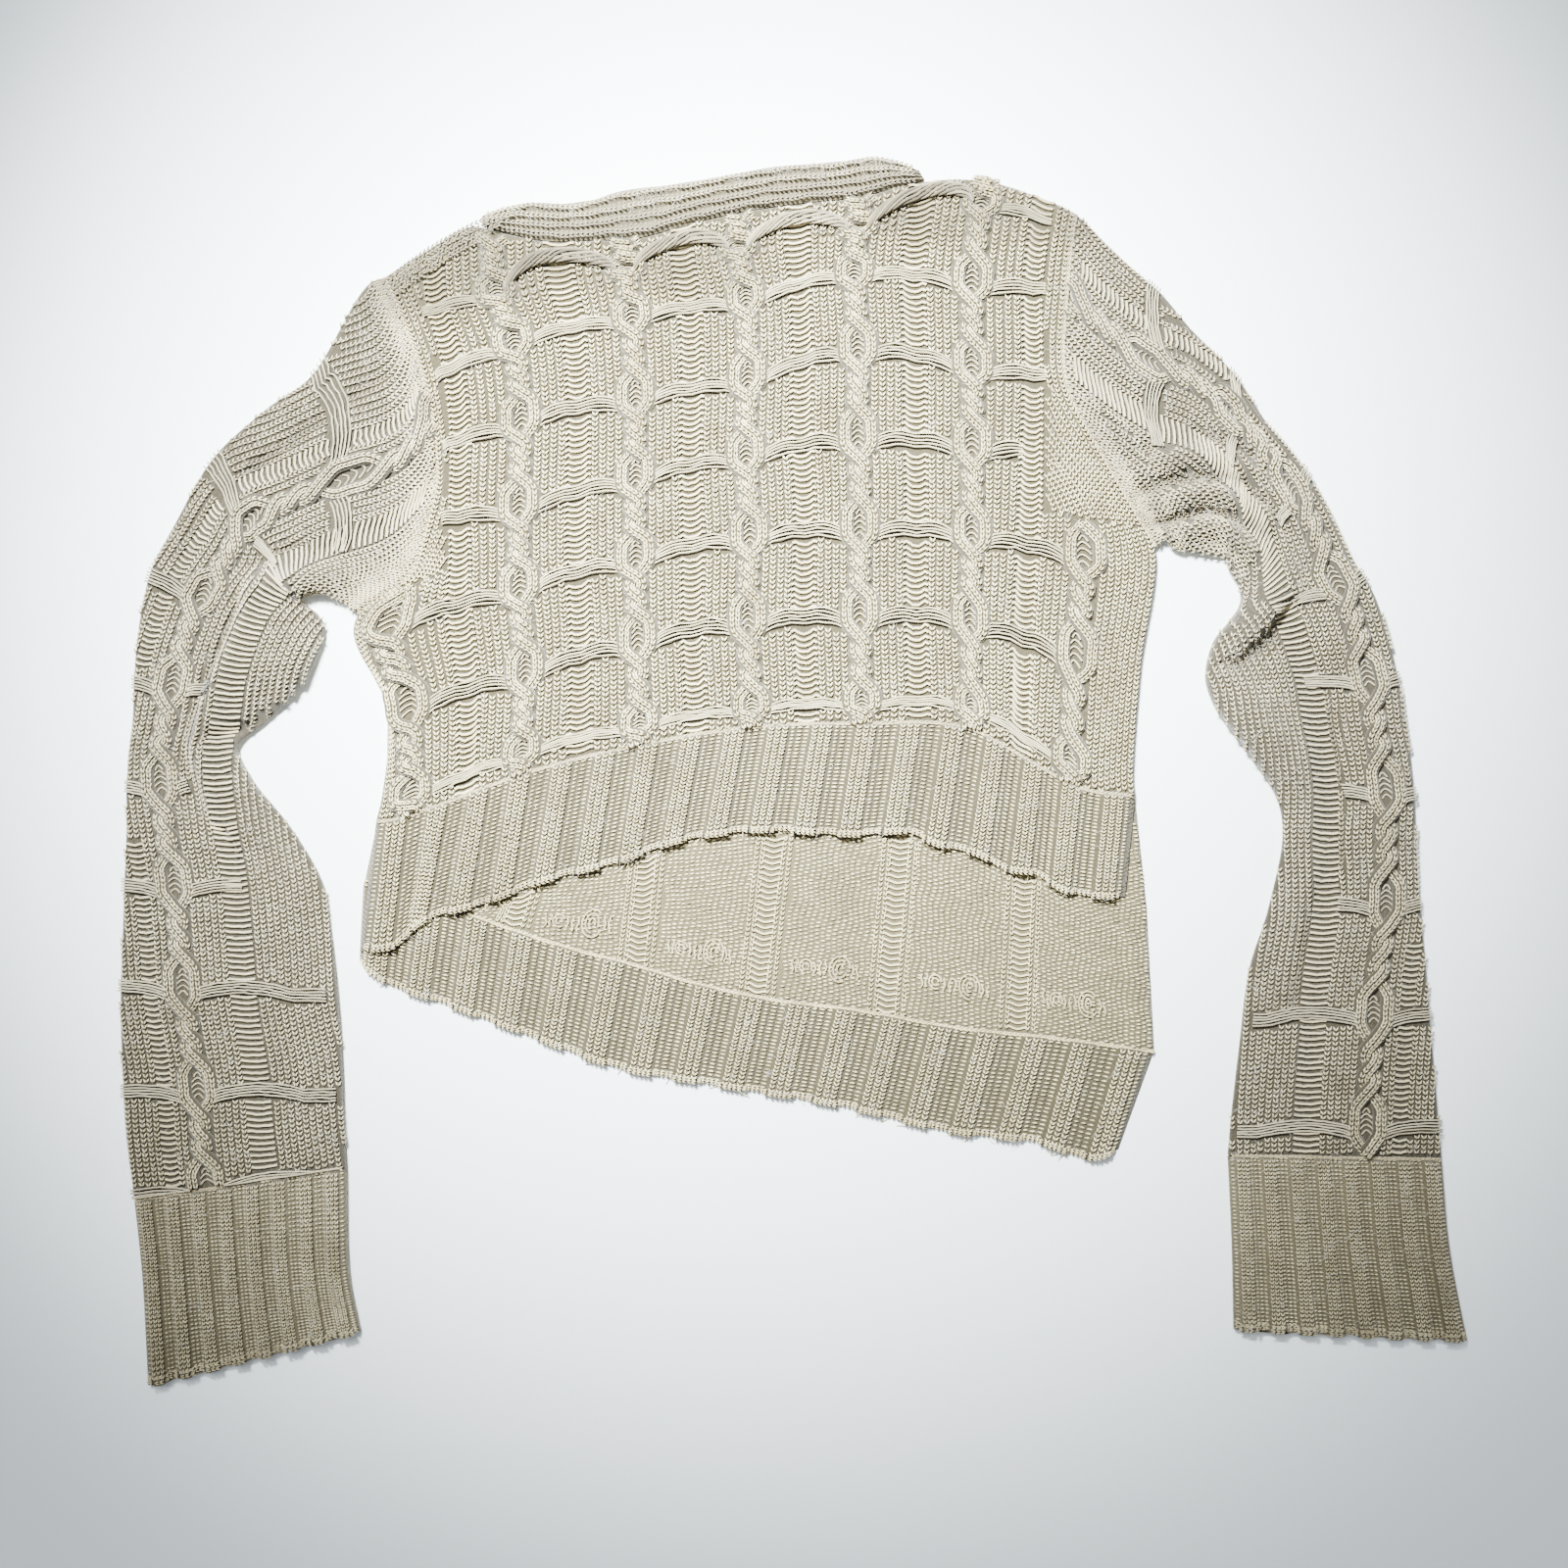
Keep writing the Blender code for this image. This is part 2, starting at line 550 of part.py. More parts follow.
def tube_rings(places, tops, low, high):
    """Rings from a grid of top places, over a flat underside that follows the same outline.

    The first and last places of a row are the outline's edges, where the side rounds down. The
    slot inside runs from low to high.
    """
    rings, insides = [], []
    middle = (low + high) / 2
    for row, heights in zip(places, tops):
        length = run_lengths(row)[-1]
        shares = run_lengths(row) / length
        foot = TUBE_ROUNDING / length
        under = along_row(row, foot + (1 - 2 * foot) * shares)[1:-1][::-1]
        ring = [(*row[0], middle)]
        ring += [(*point, z) for point, z in zip(row[1:-1], heights[1:-1])]
        ring += [(*row[-1], middle)]
        ring += [(*point, 0.0) for point in under]
        edge = (TUBE_ROUNDING + WALL) / length
        slot = along_row(row, edge + (1 - 2 * edge) * shares)
        inside = [(*slot[0], middle)]
        inside += [(*point, high) for point in slot[1:-1]]
        inside += [(*slot[-1], middle)]
        inside += [(*point, low) for point in slot[1:-1][::-1]]
        rings.append(np.array(ring))
        insides.append(np.array(inside))
    return rings, insides


def lower_rim(tops, height):
    tops[0, :] = tops[-1, :] = height
    tops[:, 0] = tops[:, -1] = height


def front_panel():
    columns = [-1.0, -0.85]
    for column in range(7):
        before = LEFT_MARGIN if column == 0 else PITCH
        after = RIGHT_MARGIN if column == 6 else PITCH
        columns += [column - CABLE_HALF / before, column - STRAND_AT / before, column]
        columns += [column + STRAND_AT / after, column + CABLE_HALF / after]
        columns += [column + share for share in LADDER_COLUMNS] if column < 6 else []
    levels = list(TOP_ROWS)
    for row in range(1, 8):
        levels += [row + share for share in BAR_ROWS]
        levels += [row + share for share in BETWEEN_ROWS] if row < 7 else []
    columns, levels = np.array(columns + [6.9, 7.0]), np.array(levels + list(FOOT_ROWS))
    places = front_points(levels, columns)
    tops = FRONT_TOP + body_relief(columns, levels)
    lower_rim(tops, FRONT_TOP - EDGE_DROP)
    return plate("front_panel", places, tops, FRONT_FLOOR)


def rib_marks(count):
    """Shares along a ribbed edge: both feet and both shoulders of each rib."""
    pitch = 1.0 / count
    marks, raised = [0.0], [0.0]
    for k in range(count):
        middle = (k + 0.5) * pitch
        half = RIB_SHARE * pitch / 2
        slope = RIB_SLOPE * pitch
        marks += [middle - half - slope, middle - half, middle + half, middle + half + slope]
        raised += [0.0, 1.0, 1.0, 0.0]
    return np.array(marks + [1.0]), np.array(raised + [0.0])


def hem_rows(top, bottom, depths, scallop):
    """Rows from a seam to a hem edge; depths has a row for each, with one share or one for each
    place. The edge's ribs reach a little past its gutters."""
    rows = [top + (bottom - top) * np.reshape(depth, (-1, 1)) for depth in depths]
    down = (bottom - top) / np.linalg.norm(bottom - top, axis=1)[:, None]
    rows[-1] = rows[-1] + down * scallop[:, None]
    return np.stack(rows)


def front_hem_rib():
    marks, raised = rib_marks(FRONT_RIBS)
    seam = front_points(LEVELS[-1:], np.linspace(-1.0, 7.0, FINE_COUNT))[0]
    top = along_row(seam, marks) - np.array([0.0, SEAM_GAP])
    bottom = even_curve(FRONT_HEM_EDGE, marks)
    places = hem_rows(top, bottom, FRONT_HEM_ROWS, raised * SCALLOP)
    tops = FRONT_TOP + RIB_HEIGHT * np.tile(raised, (len(FRONT_HEM_ROWS), 1))
    lower_rim(tops, FRONT_TOP - EDGE_DROP)
    return plate("front_hem_rib", places, tops, FRONT_FLOOR)


def inside_relief(columns, depths, shown):
    """Raised pattern of the back's inside; shown is how far each place lies past the front hem."""
    height = np.zeros(shown.shape)
    beside = np.abs(columns - np.round(columns))[None, :]
    in_ladder = (beside < LADDER_HALF) & (columns > 0.5)[None, :] & (columns < 4.5)[None, :]
    height += np.where(in_ladder, INSIDE_LADDER_DEPTH, 0.0)
    for knot in INSIDE_KNOTS:
        across = np.abs(columns - knot.column)[None, :] / KNOT_REACH
        along = np.abs(depths - knot.depth)[:, None] / KNOT_REACH
        height += KNOT_HEIGHT * np.clip(1.2 - across ** 2 - along ** 2, 0.0, 1.0)
    roll = np.clip(1.0 - np.abs(columns - SIDE_ROLL_AT) / SIDE_ROLL_HALF, 0.0, 1.0)[None, :]
    height += SIDE_ROLL_HEIGHT * roll * np.clip(1.2 - depths, 0.0, 1.0)[:, None]
    return height * smooth_step(CLEAR_OF_HEM + 0.5, CLEAR_OF_HEM + 3.0, shown)


def back_panel():
    """The back: flat under the front, and seen from its inside below the front's hem."""
    columns = list(LEFT_COLUMNS)
    for ladder in range(INSIDE_LADDERS):
        columns += [ladder + share for share in BESIDE_LADDER]
    columns = np.array(columns + list(RIGHT_COLUMNS))
    marks = [entry.column for entry in INSIDE_COLUMNS]
    upper_x = np.interp(columns, marks, [entry.x_upper for entry in INSIDE_COLUMNS])
    lower_x = np.interp(columns, marks, [entry.x_lower for entry in INSIDE_COLUMNS])
    fine = np.linspace(-1.0, 7.0, FINE_COUNT)
    level_row = front_points(BODY_LEVELS[-1:], fine)[0]
    share = (upper_x - upper_x[0]) / (upper_x[-1] - upper_x[0])
    body_x = level_row[0, 0] + share * (level_row[-1, 0] - level_row[0, 0])
    body_columns = np.interp(body_x, level_row[:, 0], fine)
    body = front_points(BODY_LEVELS, body_columns)
    seam_y = edge_height(BACK_HEM_SEAM, lower_x)
    clear_y = np.maximum(edge_height(FRONT_HEM_EDGE, upper_x) - CLEAR_OF_HEM, seam_y + 3.0)
    clear = np.stack([upper_x, clear_y], axis=1)
    seam = np.stack([lower_x, seam_y], axis=1)
    under_hem = [body[-1] + (clear - body[-1]) * share for share in UNDER_HEM_ROWS]
    depths = np.array(SHOWN_ROWS)
    shown_rows = [clear + (seam - clear) * depth for depth in depths]
    places = np.concatenate([body, np.stack(under_hem), np.stack(shown_rows)])
    tops = np.full(places.shape[:2], WALL)
    shown = edge_height(FRONT_HEM_EDGE, places[-len(depths):, :, 0]) - places[-len(depths):, :, 1]
    tops[-len(depths):] += inside_relief(columns, depths, shown)
    lower_rim(tops, WALL - EDGE_DROP)
    return plate("back_panel", places, tops, 0.0)


def covered_depths(top, bottom):
    """Share of each line from top to bottom that the front hem covers."""
    tries = np.linspace(0.03, 0.94, 60)
    lines = top + (bottom - top) * tries[:, None, None]
    under = lines[..., 1] > edge_height(FRONT_HEM_EDGE, lines[..., 0]) - CLEAR_OF_HEM
    return tries[np.minimum(under.sum(axis=0), len(tries) - 1)]


def back_hem_rib():
    marks, raised = rib_marks(BACK_RIBS)
    top = even_curve(BACK_HEM_SEAM, marks) - np.array([0.0, SEAM_GAP])
    bottom = even_curve(BACK_HEM_EDGE, marks)
    first = covered_depths(top, bottom)
    past = first + (1 - first) * BACK_HEM_FIRST_ROW
    last = first + (1 - first) * BACK_HEM_LAST_ROW
    depths = (0.0 * first, first, past, last, 0.0 * first + 1.0)
    places = hem_rows(top, bottom, depths, raised * SCALLOP)
    tops = WALL + RIB_HEIGHT * np.tile(raised, (len(depths), 1))
    tops[1] = WALL
    lower_rim(tops, WALL - EDGE_DROP)
    return plate("back_hem_rib", places, tops, 0.0)


def sleeve(name, sections, eyes, folds, side):
    shape = Sleeve(sections, eyes, folds, side)
    last = shape.length - END_RING
    rings = [eye.along + step for eye in eyes for step in EYE_RINGS]
    rings += [(before.along + after.along) / 2 for before, after in zip(eyes, eyes[1:])]
    rings = [at for at in sorted(rings) if END_RING < at < last - END_RING]
    along = np.array([0.0, END_RING] + rings + [last, shape.length - SEAM_GAP])
    across, width = sleeve_across(shape, along)
    places = shape.place(along, across)
    if side is not None:
        places[0] = off_seam(places[0], side)
    tops = TUBE_TOP + sleeve_relief(shape, along, across, width) + fold_relief(places, folds)
    tops[0] = np.minimum(tops[0], TUBE_TOP - EDGE_DROP)
    tops[-1] = TUBE_TOP - EDGE_DROP
    rings, insides = tube_rings(places, tops, WALL, TUBE_INSIDE_TOP)
    return tube(name, rings, insides)


def off_seam(points, side):
    """Moves an armhole row off the body by the seam gap."""
    steps = np.gradient(points, axis=0)
    normals = np.stack([steps[:, 1], -steps[:, 0]], axis=1)
    normals /= np.linalg.norm(normals, axis=1)[:, None]
    outward = 1.0 if side == 0 else -1.0
    return points + normals * outward * ARMHOLE_GAP


def cuff(name, sections):
    shape = Sleeve(sections, (), (), None)
    marks, raised = rib_marks(CUFF_RIBS)
    width = np.linalg.norm(np.subtract(sections[0].inner, sections[0].outer))
    edge = TUBE_ROUNDING / width
    across = np.concatenate([[0.0], edge + (1 - 2 * edge) * marks, [1.0]])
    raised = np.concatenate([[0.0], raised, [0.0]])
    along = np.array([SEAM_GAP / 2, CUFF_EDGE, shape.length - CUFF_EDGE, shape.length])
    places = shape.place(along, np.tile(across, (len(along), 1)))
    down = places[-1] - places[-2]
    places[-1] += down / np.linalg.norm(down, axis=1)[:, None] * (raised * SCALLOP)[:, None]
    tops = TUBE_TOP + RIB_HEIGHT * np.tile(raised, (len(along), 1))
    tops[0] = TUBE_TOP - EDGE_DROP
    tops[-1] = TUBE_TOP - EDGE_DROP
    rings, insides = tube_rings(places, tops, WALL, TUBE_INSIDE_TOP)
    return tube(name, rings, insides)


def neckband():
    """A short flattened tube round the neck; its ribs run along it."""
    shares = np.linspace(0.0, 1.0, NECK_POINTS)
    upper = even_curve(NECKBAND_TOP, shares)
    across = np.linspace(NECKBAND_FROM_X, NECKBAND_TO_X, FINE_COUNT)
    edge = np.stack([across, edge_height(FRONT_TOP_EDGE, across) + NECK_GAP], axis=1)
    lower = along_row(edge, shares)
    marks = np.linspace(0.0, 1.0, 2 * NECK_RIBS + 1)
    raised = np.arange(2 * NECK_RIBS + 1) % 2
    places = np.stack([upper + (lower - upper) * mark for mark in marks])
    tops = TUBE_TOP + RIB_HEIGHT * raised[:, None] + 0.0 * shares[None]
    tops[0] = tops[-1] = TUBE_TOP - EDGE_DROP
    tops[:, 1] = tops[:, -2] = TUBE_TOP - EDGE_DROP
    rings, insides = tube_rings(places, tops, WALL, TUBE_INSIDE_TOP)
    return tube("neckband", rings, insides)


def centre_on_ground():
    """Moves the whole garment so that the middle of its underside is at the origin."""
    meshes = [obj.data for obj in bpy.data.objects]
    corners = np.array([vert.co for mesh in meshes for vert in mesh.vertices])
    low, high = corners.min(axis=0), corners.max(axis=0)
    middle = Vector((*((low + high) / 2)[:2], low[2]))
    for mesh in meshes:
        for vert in mesh.vertices:
            vert.co -= middle


def build():
    clear_scene()
    front_panel()
    front_hem_rib()
    back_panel()
    back_hem_rib()
    sleeve("left_sleeve", LEFT_SLEEVE, LEFT_EYES, LEFT_FOLDS, 0)
    sleeve("right_sleeve", RIGHT_SLEEVE, RIGHT_EYES, RIGHT_FOLDS, -1)
    cuff("left_cuff", LEFT_CUFF)
    cuff("right_cuff", RIGHT_CUFF)
    neckband()
    centre_on_ground()


build()
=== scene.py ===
from collections import namedtuple

import bpy
import numpy as np
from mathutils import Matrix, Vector


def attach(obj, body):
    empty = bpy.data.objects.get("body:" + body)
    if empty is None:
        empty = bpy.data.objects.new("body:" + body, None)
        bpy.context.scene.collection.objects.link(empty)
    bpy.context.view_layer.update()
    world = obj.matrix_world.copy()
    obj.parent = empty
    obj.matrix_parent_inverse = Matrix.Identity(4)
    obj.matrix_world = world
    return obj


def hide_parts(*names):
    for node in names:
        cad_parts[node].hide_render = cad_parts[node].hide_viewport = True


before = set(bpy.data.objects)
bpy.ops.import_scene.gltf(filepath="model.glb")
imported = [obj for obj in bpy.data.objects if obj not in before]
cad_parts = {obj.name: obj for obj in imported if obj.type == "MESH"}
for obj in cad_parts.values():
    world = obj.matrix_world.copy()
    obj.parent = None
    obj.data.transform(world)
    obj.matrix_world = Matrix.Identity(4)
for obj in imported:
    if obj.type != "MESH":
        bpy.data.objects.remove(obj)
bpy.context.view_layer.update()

# Tables are in millimetres as in the CAD source. Its origin is the middle of the garment's box,
# which lies here in the tables.
MM = 0.001
TABLE_MIDDLE = (-0.50, 0.42)
chance = np.random.default_rng(11)

# Cloth: walls, layers and gaps, and how far the plain cloth lies below the tops of its stitches
WALL = 2.8
LAYER_GAP = 0.3
SEAM_GAP = 0.5
ARMHOLE_GAP = 0.8
NECK_GAP = 0.8
FRONT_FLOOR = WALL + LAYER_GAP
FRONT_TOP = FRONT_FLOOR + WALL
BACK_TOP = WALL - 0.5
BACK_LOWEST = 1.2
THINNEST = 0.5
UNDER_STITCHES = 1.3
EDGE_ROUNDING = 2.6
EDGE_DROP = 1.3
HEM_SEAM_DROP = 0.8
BACK_EDGE_DROP = 1.0
CLEAR_OF_HEM = 3.0
FINE_COUNT = 400

# Tubes: their top, where they are widest, the rounding of their edges and the slot inside
TUBE_TOP = 6.6
TUBE_MIDDLE = 3.3
TUBE_ROUNDING = 2.6
SLOT = (1.2, 3.0)
SLOT_STEP = 6

# Folds: how far they reach and rise over what the tables give, and how much is left at their ends
FOLD_SPREAD = 1.25
FOLD_RAISE = 1.3
FOLD_END_SHARE = 0.35

# Knit: spacing of columns of stitches and of courses, and how the yarn lies and varies
WALE = 3.0
COURSE = 2.5
STITCH_LIFT = 0.75
PATCH_TONE = 0.27
# Painted shade on the bunched cloth at the shoulders: its middle, its half sizes and its
# change of tone
Shade = namedtuple("Shade", "x y half_x half_y change")
SHADES = (
    Shade(-180.0, 256.0, 78.0, 34.0, -0.8),
    Shade(-70.0, 258.0, 75.0, 24.0, -0.55),
    Shade(100.0, 284.0, 100.0, 24.0, -0.65),
)

# The front's pattern. A tile runs from one cable to the next, and a row from one bar to the next.
# A cable coordinate counts the cables from the left, and a level counts the bars from the top.
PITCH = 57.5
ROW_HEIGHT = 43.0
TILES = 6
LAST_CABLE = 6
LAST_ROW = 7
LEFT_OF_CABLES = 18.0
RIGHT_OF_CABLES = 34.0
FOOT_LEVEL = 7.5
LOWEST_KNIT = 7.49
DRAWN_LEVEL = 1.0
ARMPIT_LEVEL = 5.0
CABLES_FROM_LEVEL = 4.66
FRONT_EDGES = (-1.0, 7.0)
SIDE_LINES = (0.36, 5.64)
SIDE_WALES_TO = (0.355, 5.645)
SIDE_WALE = 3.4
SIDE_WALE_COUNT = 14
# Wales of a tile's two blocks, in millimetres past the cable on its left, and those beside the
# outermost cables, in millimetres from them
BLOCK_WALES = (8.6, 12.5, 16.4, 20.3, 37.2, 41.1, 45.0, 48.9)
BLOCK_WALE = 3.9
LEFT_WALES = (8.2, 11.7, 15.2)
LEFT_WALE = 3.5
RIGHT_WALES = (8.2, 11.6, 15.0, 18.4, 21.8, 25.2, 28.6, 32.0)
RIGHT_WALE = 3.4
LADDER_FROM = 23.2
LADDER_TO = 34.3
LADDER_MIDDLE = 28.75
RUNG_SPACING = 3.0
# The plain cloth's hills and hollows across a tile: height, middle and half width
FRONT_RELIEF = ((0.7, 14.2, 9.8), (0.7, 43.3, 9.8), (-1.3, LADDER_MIDDLE, 7.2))
BLOCK_MIDDLES = (14.2, 43.3)
BLOCK_HALF = 9.2
# Hollows above and below a bar: depth, place from the bar's middle and reach
BAR_HOLLOWS = ((1.0, 4.4, 1.3), (0.4, -4.6, 1.2))
BAR_HOLLOW_DEPTH = 1.1
EYE_HALF = (3.6, 8.0)
FRONT_EYE_DEPTH = 1.5
SLEEVE_EYE_DEPTH = 1.2

# Bars: how far below its eyes a bar runs at its ends and how far it arches up, and its floats
BAR_END = 8.5
BAR_SAG = 5.0
BAR_ARCH = 4.5
SLEEVE_BAR_ARCH = 3.4
BAR_HUMP = 1.6
BAR_HUMP_HALF = 6.0
BAR_ABOVE = 3.4
BAR_UNDER = 5.7
BAR_FLOATS = 5
FLOAT_SPACING = 1.55
BAR_LIFT = 1.5
# Where the bars of the outermost tiles end, above the armpits: millimetres past the left cable
BarSpan = namedtuple("BarSpan", "row left_tile_from right_tile_to")
BAR_SPANS = (BarSpan(1, 18, 36), BarSpan(2, 14, 38), BarSpan(3, 14, 38), BarSpan(4, 15, 24),
             BarSpan(5, 8.5, 49), BarSpan(6, 8.5, 49), BarSpan(7, 8.5, 49))
# The first bar under the neckband is pulled up and twisted into a rope in these tiles
TWIST_TILES = (1, 2, 3, 4)
TWIST_YARNS = 8
TWIST_RADIUS = 3.2
TWIST_PITCH = 48.0
TWIST_RISE = 0.62
TWIST_LEVEL = 1.06
TWIST_LIFT = 2.3

# Loops that show inside an eye: how far below it each lies, and half its width
EYE_LOOPS = ((-5.0, 2.0), (-2.2, 3.0), (0.6, 3.4), (3.4, 3.3), (6.2, 2.6))
LOOP_ARCH = 2.2

# Path of the strand that is left of an eye and right of the next: distance below the eye, place
# across, its height over the cloth, and the height of the other strand, which mirrors it. The two
# cross three times, each time with the one that comes from the left on top.
StrandMark = namedtuple("StrandMark", "below across over under")
STRAND = (
    StrandMark(0.0, -6.9, 2.5, 2.5), StrandMark(6.0, -6.3, 2.8, 2.2),
    StrandMark(9.2, -3.6, 3.4, 1.3), StrandMark(12.5, 0.0, 3.9, 0.7),
    StrandMark(15.2, 2.6, 3.4, 1.8), StrandMark(17.2, 3.0, 2.6, 2.6),
    StrandMark(19.2, 2.2, 1.6, 3.4), StrandMark(21.7, 0.0, 0.7, 3.9),
    StrandMark(24.2, -2.2, 1.8, 3.4), StrandMark(26.0, -3.0, 2.6, 2.6),
    StrandMark(27.8, -2.6, 3.4, 1.8), StrandMark(30.5, 0.0, 3.9, 0.7),
    StrandMark(33.8, 3.6, 3.4, 1.3), StrandMark(37.0, 6.3, 2.8, 2.2),
    StrandMark(43.0, 6.9, 2.5, 2.5),
)
STRAND_WALE = 2.75
CABLE_HALF = 8.0
# Section of a strand's body: across it and out of it, from the line that its stitches follow
STRAND_SECTION = np.array([(-3.9, -2.8), (-3.6, -1.1), (-1.6, -0.2), (1.6, -0.2), (3.6, -1.1),
                           (3.9, -2.8)])

# Ribs: how many, how high, and how bare the cloth under their stitches looks, the less bare
# the more painted shade in the gaps
FRONT_RIBS = 18
BACK_RIBS = 17
CUFF_RIBS = 8
NECK_RIBS = 4
RIB_RISE = 2.0
NECK_RIB_RISE = 1.3
CUFF_BARE = 0.12
NECK_BARE = 0.15
BACK_BARE = 0.08
SCALLOP = 1.2
# Wales of a rib and of a gutter, as shares of the way from gutter to gutter
RIB_WALES = (-0.16, 0.0, 0.16)
GUTTER_WALES = (-0.168, 0.0, 0.168)

# Sleeves: millimetres from the main cable to the ladders on both sides of it and to the first
# wale, spacing of the wales, and how far the armhole's curve and the plain start reach
INNER_LADDER = (24.4, 36.4)
OUTER_LADDER = (-20.0, -13.6)
LADDERS_FROM = 10.0
FIRST_WALE = 8.2
SLEEVE_WALE = 3.5
ARMHOLE_BLEND = 80.0
SLEEVE_RELIEF = ((0.5, 16.5, 10.0), (0.5, 46.0, 10.0), (0.4, -8.0, 5.0),
                 (-1.2, sum(INNER_LADDER) / 2, 7.5), (-0.8, sum(OUTER_LADDER) / 2, 5.0))
# A dropped stitch on the right shoulder
SHOULDER_HOLE = (148.0, 253.0)
SHOULDER_HOLE_HALF = (3.0, 4.6)

# The back's inside: distance from one ladder to the next, purl columns and courses, and the roll
# along its right side
INSIDE_PITCH = 63.0
PURL_COLUMN = 2.85 / 62.5
PURL_COURSE = 2.1
INSIDE_LADDER_ROOM = 9.6
INSIDE_LADDER_HALF = 5.0
INSIDE_CHAINS = (-8.2, -5.3, 5.3, 8.2)
SIDE_ROLL_AT = 4.97
SIDE_ROLL_HEIGHT = 1.7
# Back of a cable crossing: rings of yarn, each its middle and half sizes, and upright stitches
KNOT_RINGS = ((-9.0, 0.5, 1.5, 1.8), (-9.0, 0.5, 3.1, 3.6), (7.5, 0.8, 1.5, 2.4),
              (7.5, 0.8, 3.3, 4.6), (7.5, 0.8, 5.1, 6.6))
KNOT_UPRIGHTS = (-15.5, -13.3, -4.6, -2.0, 0.6, 13.8, 16.2)
# Level from which the back shows beside the front's hem, and y and x of the hem's two side edges
BESIDE_HEM_FROM = -10.0
HEM_RIGHT_SIDE = ((-64.0, -10.0), (168.0, 173.0))
HEM_LEFT_SIDE = ((-91.0, -25.0), (-221.0, -213.0))

# Seams: a chain of stitches, and a yarn in the gap under it, dark as painted shade in the gap
SEAM_HEIGHT = 4.8
ARMHOLE_SEAM_RISE = 0.3
CORD_DEPTH = 0.9
CORD_THICK = 1.8
CORD_SHADE = -0.4
# The left shoulder's rolled edge runs on to the neckband's end: chains of stitches side by side,
# each with its distance inward from the edge, its height and its tone, dark as painted shade
SHOULDER_ROLL = ((-207.0, 250.0), (-187.0, 264.5), (-167.0, 276.0), (-151.0, 283.0),
                 (-136.0, 287.5))
ROLL_CHAINS = ((0.0, 6.5, -0.45), (2.9, 7.9, -0.3), (5.8, 8.1, -0.3), (8.7, 7.3, -0.55))
INWARD = np.array([0.45, -0.9])

# Yarn's dark and light colours, and the share of the dark one that is left as painted shade at
# a yarn's sides, in the gaps between stitches and in creases
CREAM = ((0.475, 0.39, 0.185), (0.8, 0.71, 0.392))
# The next colours are the cream yarn made darker for the sleeves, cuffs, neckband and seams: painted
# shade
SHADED_CREAM = ((0.355, 0.291, 0.156), (0.65, 0.568, 0.34))
SIDE_SHADE_SHARE = 0.1
SLEEVE_SIDE_SHADE_SHARE = 0.24
GAP_SHADE_SHARE = 0.06
CREASE_SHADE_SHARE = 0.5
WOOL = {"Roughness": 0.95, "Specular IOR Level": 0.12, "Sheen Weight": 0.35,
        "Sheen Roughness": 0.6, "Sheen Tint": (1.0, 0.97, 0.9, 1.0)}
PAPER = {"Base Color": (0.86, 0.91, 0.94, 1.0), "Roughness": 0.9, "Specular IOR Level": 0.1}

# Lattice of the front: a row for each bar, a column for each cable, with both side edges. Each
# entry is where that cable and that bar meet. l0 and l5 are the far sides of the outermost
# ladders: above the armpit they stay beside c1 and c5, and what lies past them is squeezed.
LatticeRow = namedtuple("LatticeRow", "row level left c0 l0 c1 c2 c3 c4 c5 l5 c6 right")
FRONT_LATTICE = (
    LatticeRow("top", 0.0, (-208, 252), (-202, 256), (-191, 263), (-154, 275), (-86, 271),
               (-28, 284), (33, 292), (97, 300), (133, 288), (138, 286), (143, 284)),
    LatticeRow("A", 1.0, (-199, 231), (-195, 233), (-188, 235), (-152, 245), (-86, 257),
               (-29, 267), (32, 277), (95, 291), (131, 280), (136, 278), (141, 275)),
    LatticeRow("B", 2.0, (-188, 199), (-185, 201), (-180, 204), (-143, 220), (-83, 233),
               (-25, 242), (30, 255), (90, 251), (127, 247), (132, 246), (138, 245)),
    LatticeRow("C", 3.0, (-182, 163), (-180, 165), (-176, 168), (-139, 181), (-81, 192),
               (-24, 202), (32, 217), (90, 208), (127, 203), (131, 202), (137, 201)),
    LatticeRow("D", 4.0, (-185, 132), (-182, 132), (-177, 131), (-140, 137), (-81, 152),
               (-25, 163), (32, 172), (90, 168), (127, 165), (138, 165), (154, 165)),
    LatticeRow("armpit", 4.5, (-195, 101), (-188, 105), (-177, 109), (-140, 116), (-81, 131),
               (-24, 143), (33, 149), (90, 145), (127, 140), (145, 137), (174, 130)),
    LatticeRow("E", 5.0, (-222, 80), (-203, 79), (-180, 85), (-140, 96), (-81, 111),
               (-23, 122), (33, 126), (90, 123), (126, 116), (146, 112), (183, 114)),
    LatticeRow("F", 6.0, (-207, 33), (-195, 36), (-174, 42), (-137, 53), (-80, 69),
               (-24, 79), (33, 82), (89, 79), (123, 68), (142, 62), (176, 54)),
    LatticeRow("G", 7.0, (-210, -12), (-193, -10), (-174, -3), (-139, 11), (-79, 25),
               (-22, 34), (34, 36), (90, 34), (121, 16), (139, 6), (172, -1)),
    LatticeRow("foot", 7.5, (-213, -25), (-193, -21), (-174, -14), (-139, -1), (-79, 14),
               (-22, 23), (34, 25), (90, 22), (121, 5), (139, -5), (173, -12)),
)
COLUMN_MARKS = (-1.0, 0.0, SIDE_LINES[0], 1.0, 2.0, 3.0, 4.0, 5.0, SIDE_LINES[1], 6.0, 7.0)

# The front's top edge, from left to right: left shoulder, neck and right shoulder. The lattice
# is drawn up to it, over the stretch above DRAWN_LEVEL.
FRONT_TOP_EDGE = ((-208, 252), (-186, 266), (-163, 277.5), (-148, 274), (-125, 269.5),
                  (-103, 270), (-81, 271), (-53, 278.5), (-24, 285), (5, 289), (33, 292),
                  (62, 299.5), (80, 301.5), (97, 300.5), (120, 294), (137, 287), (143, 284))

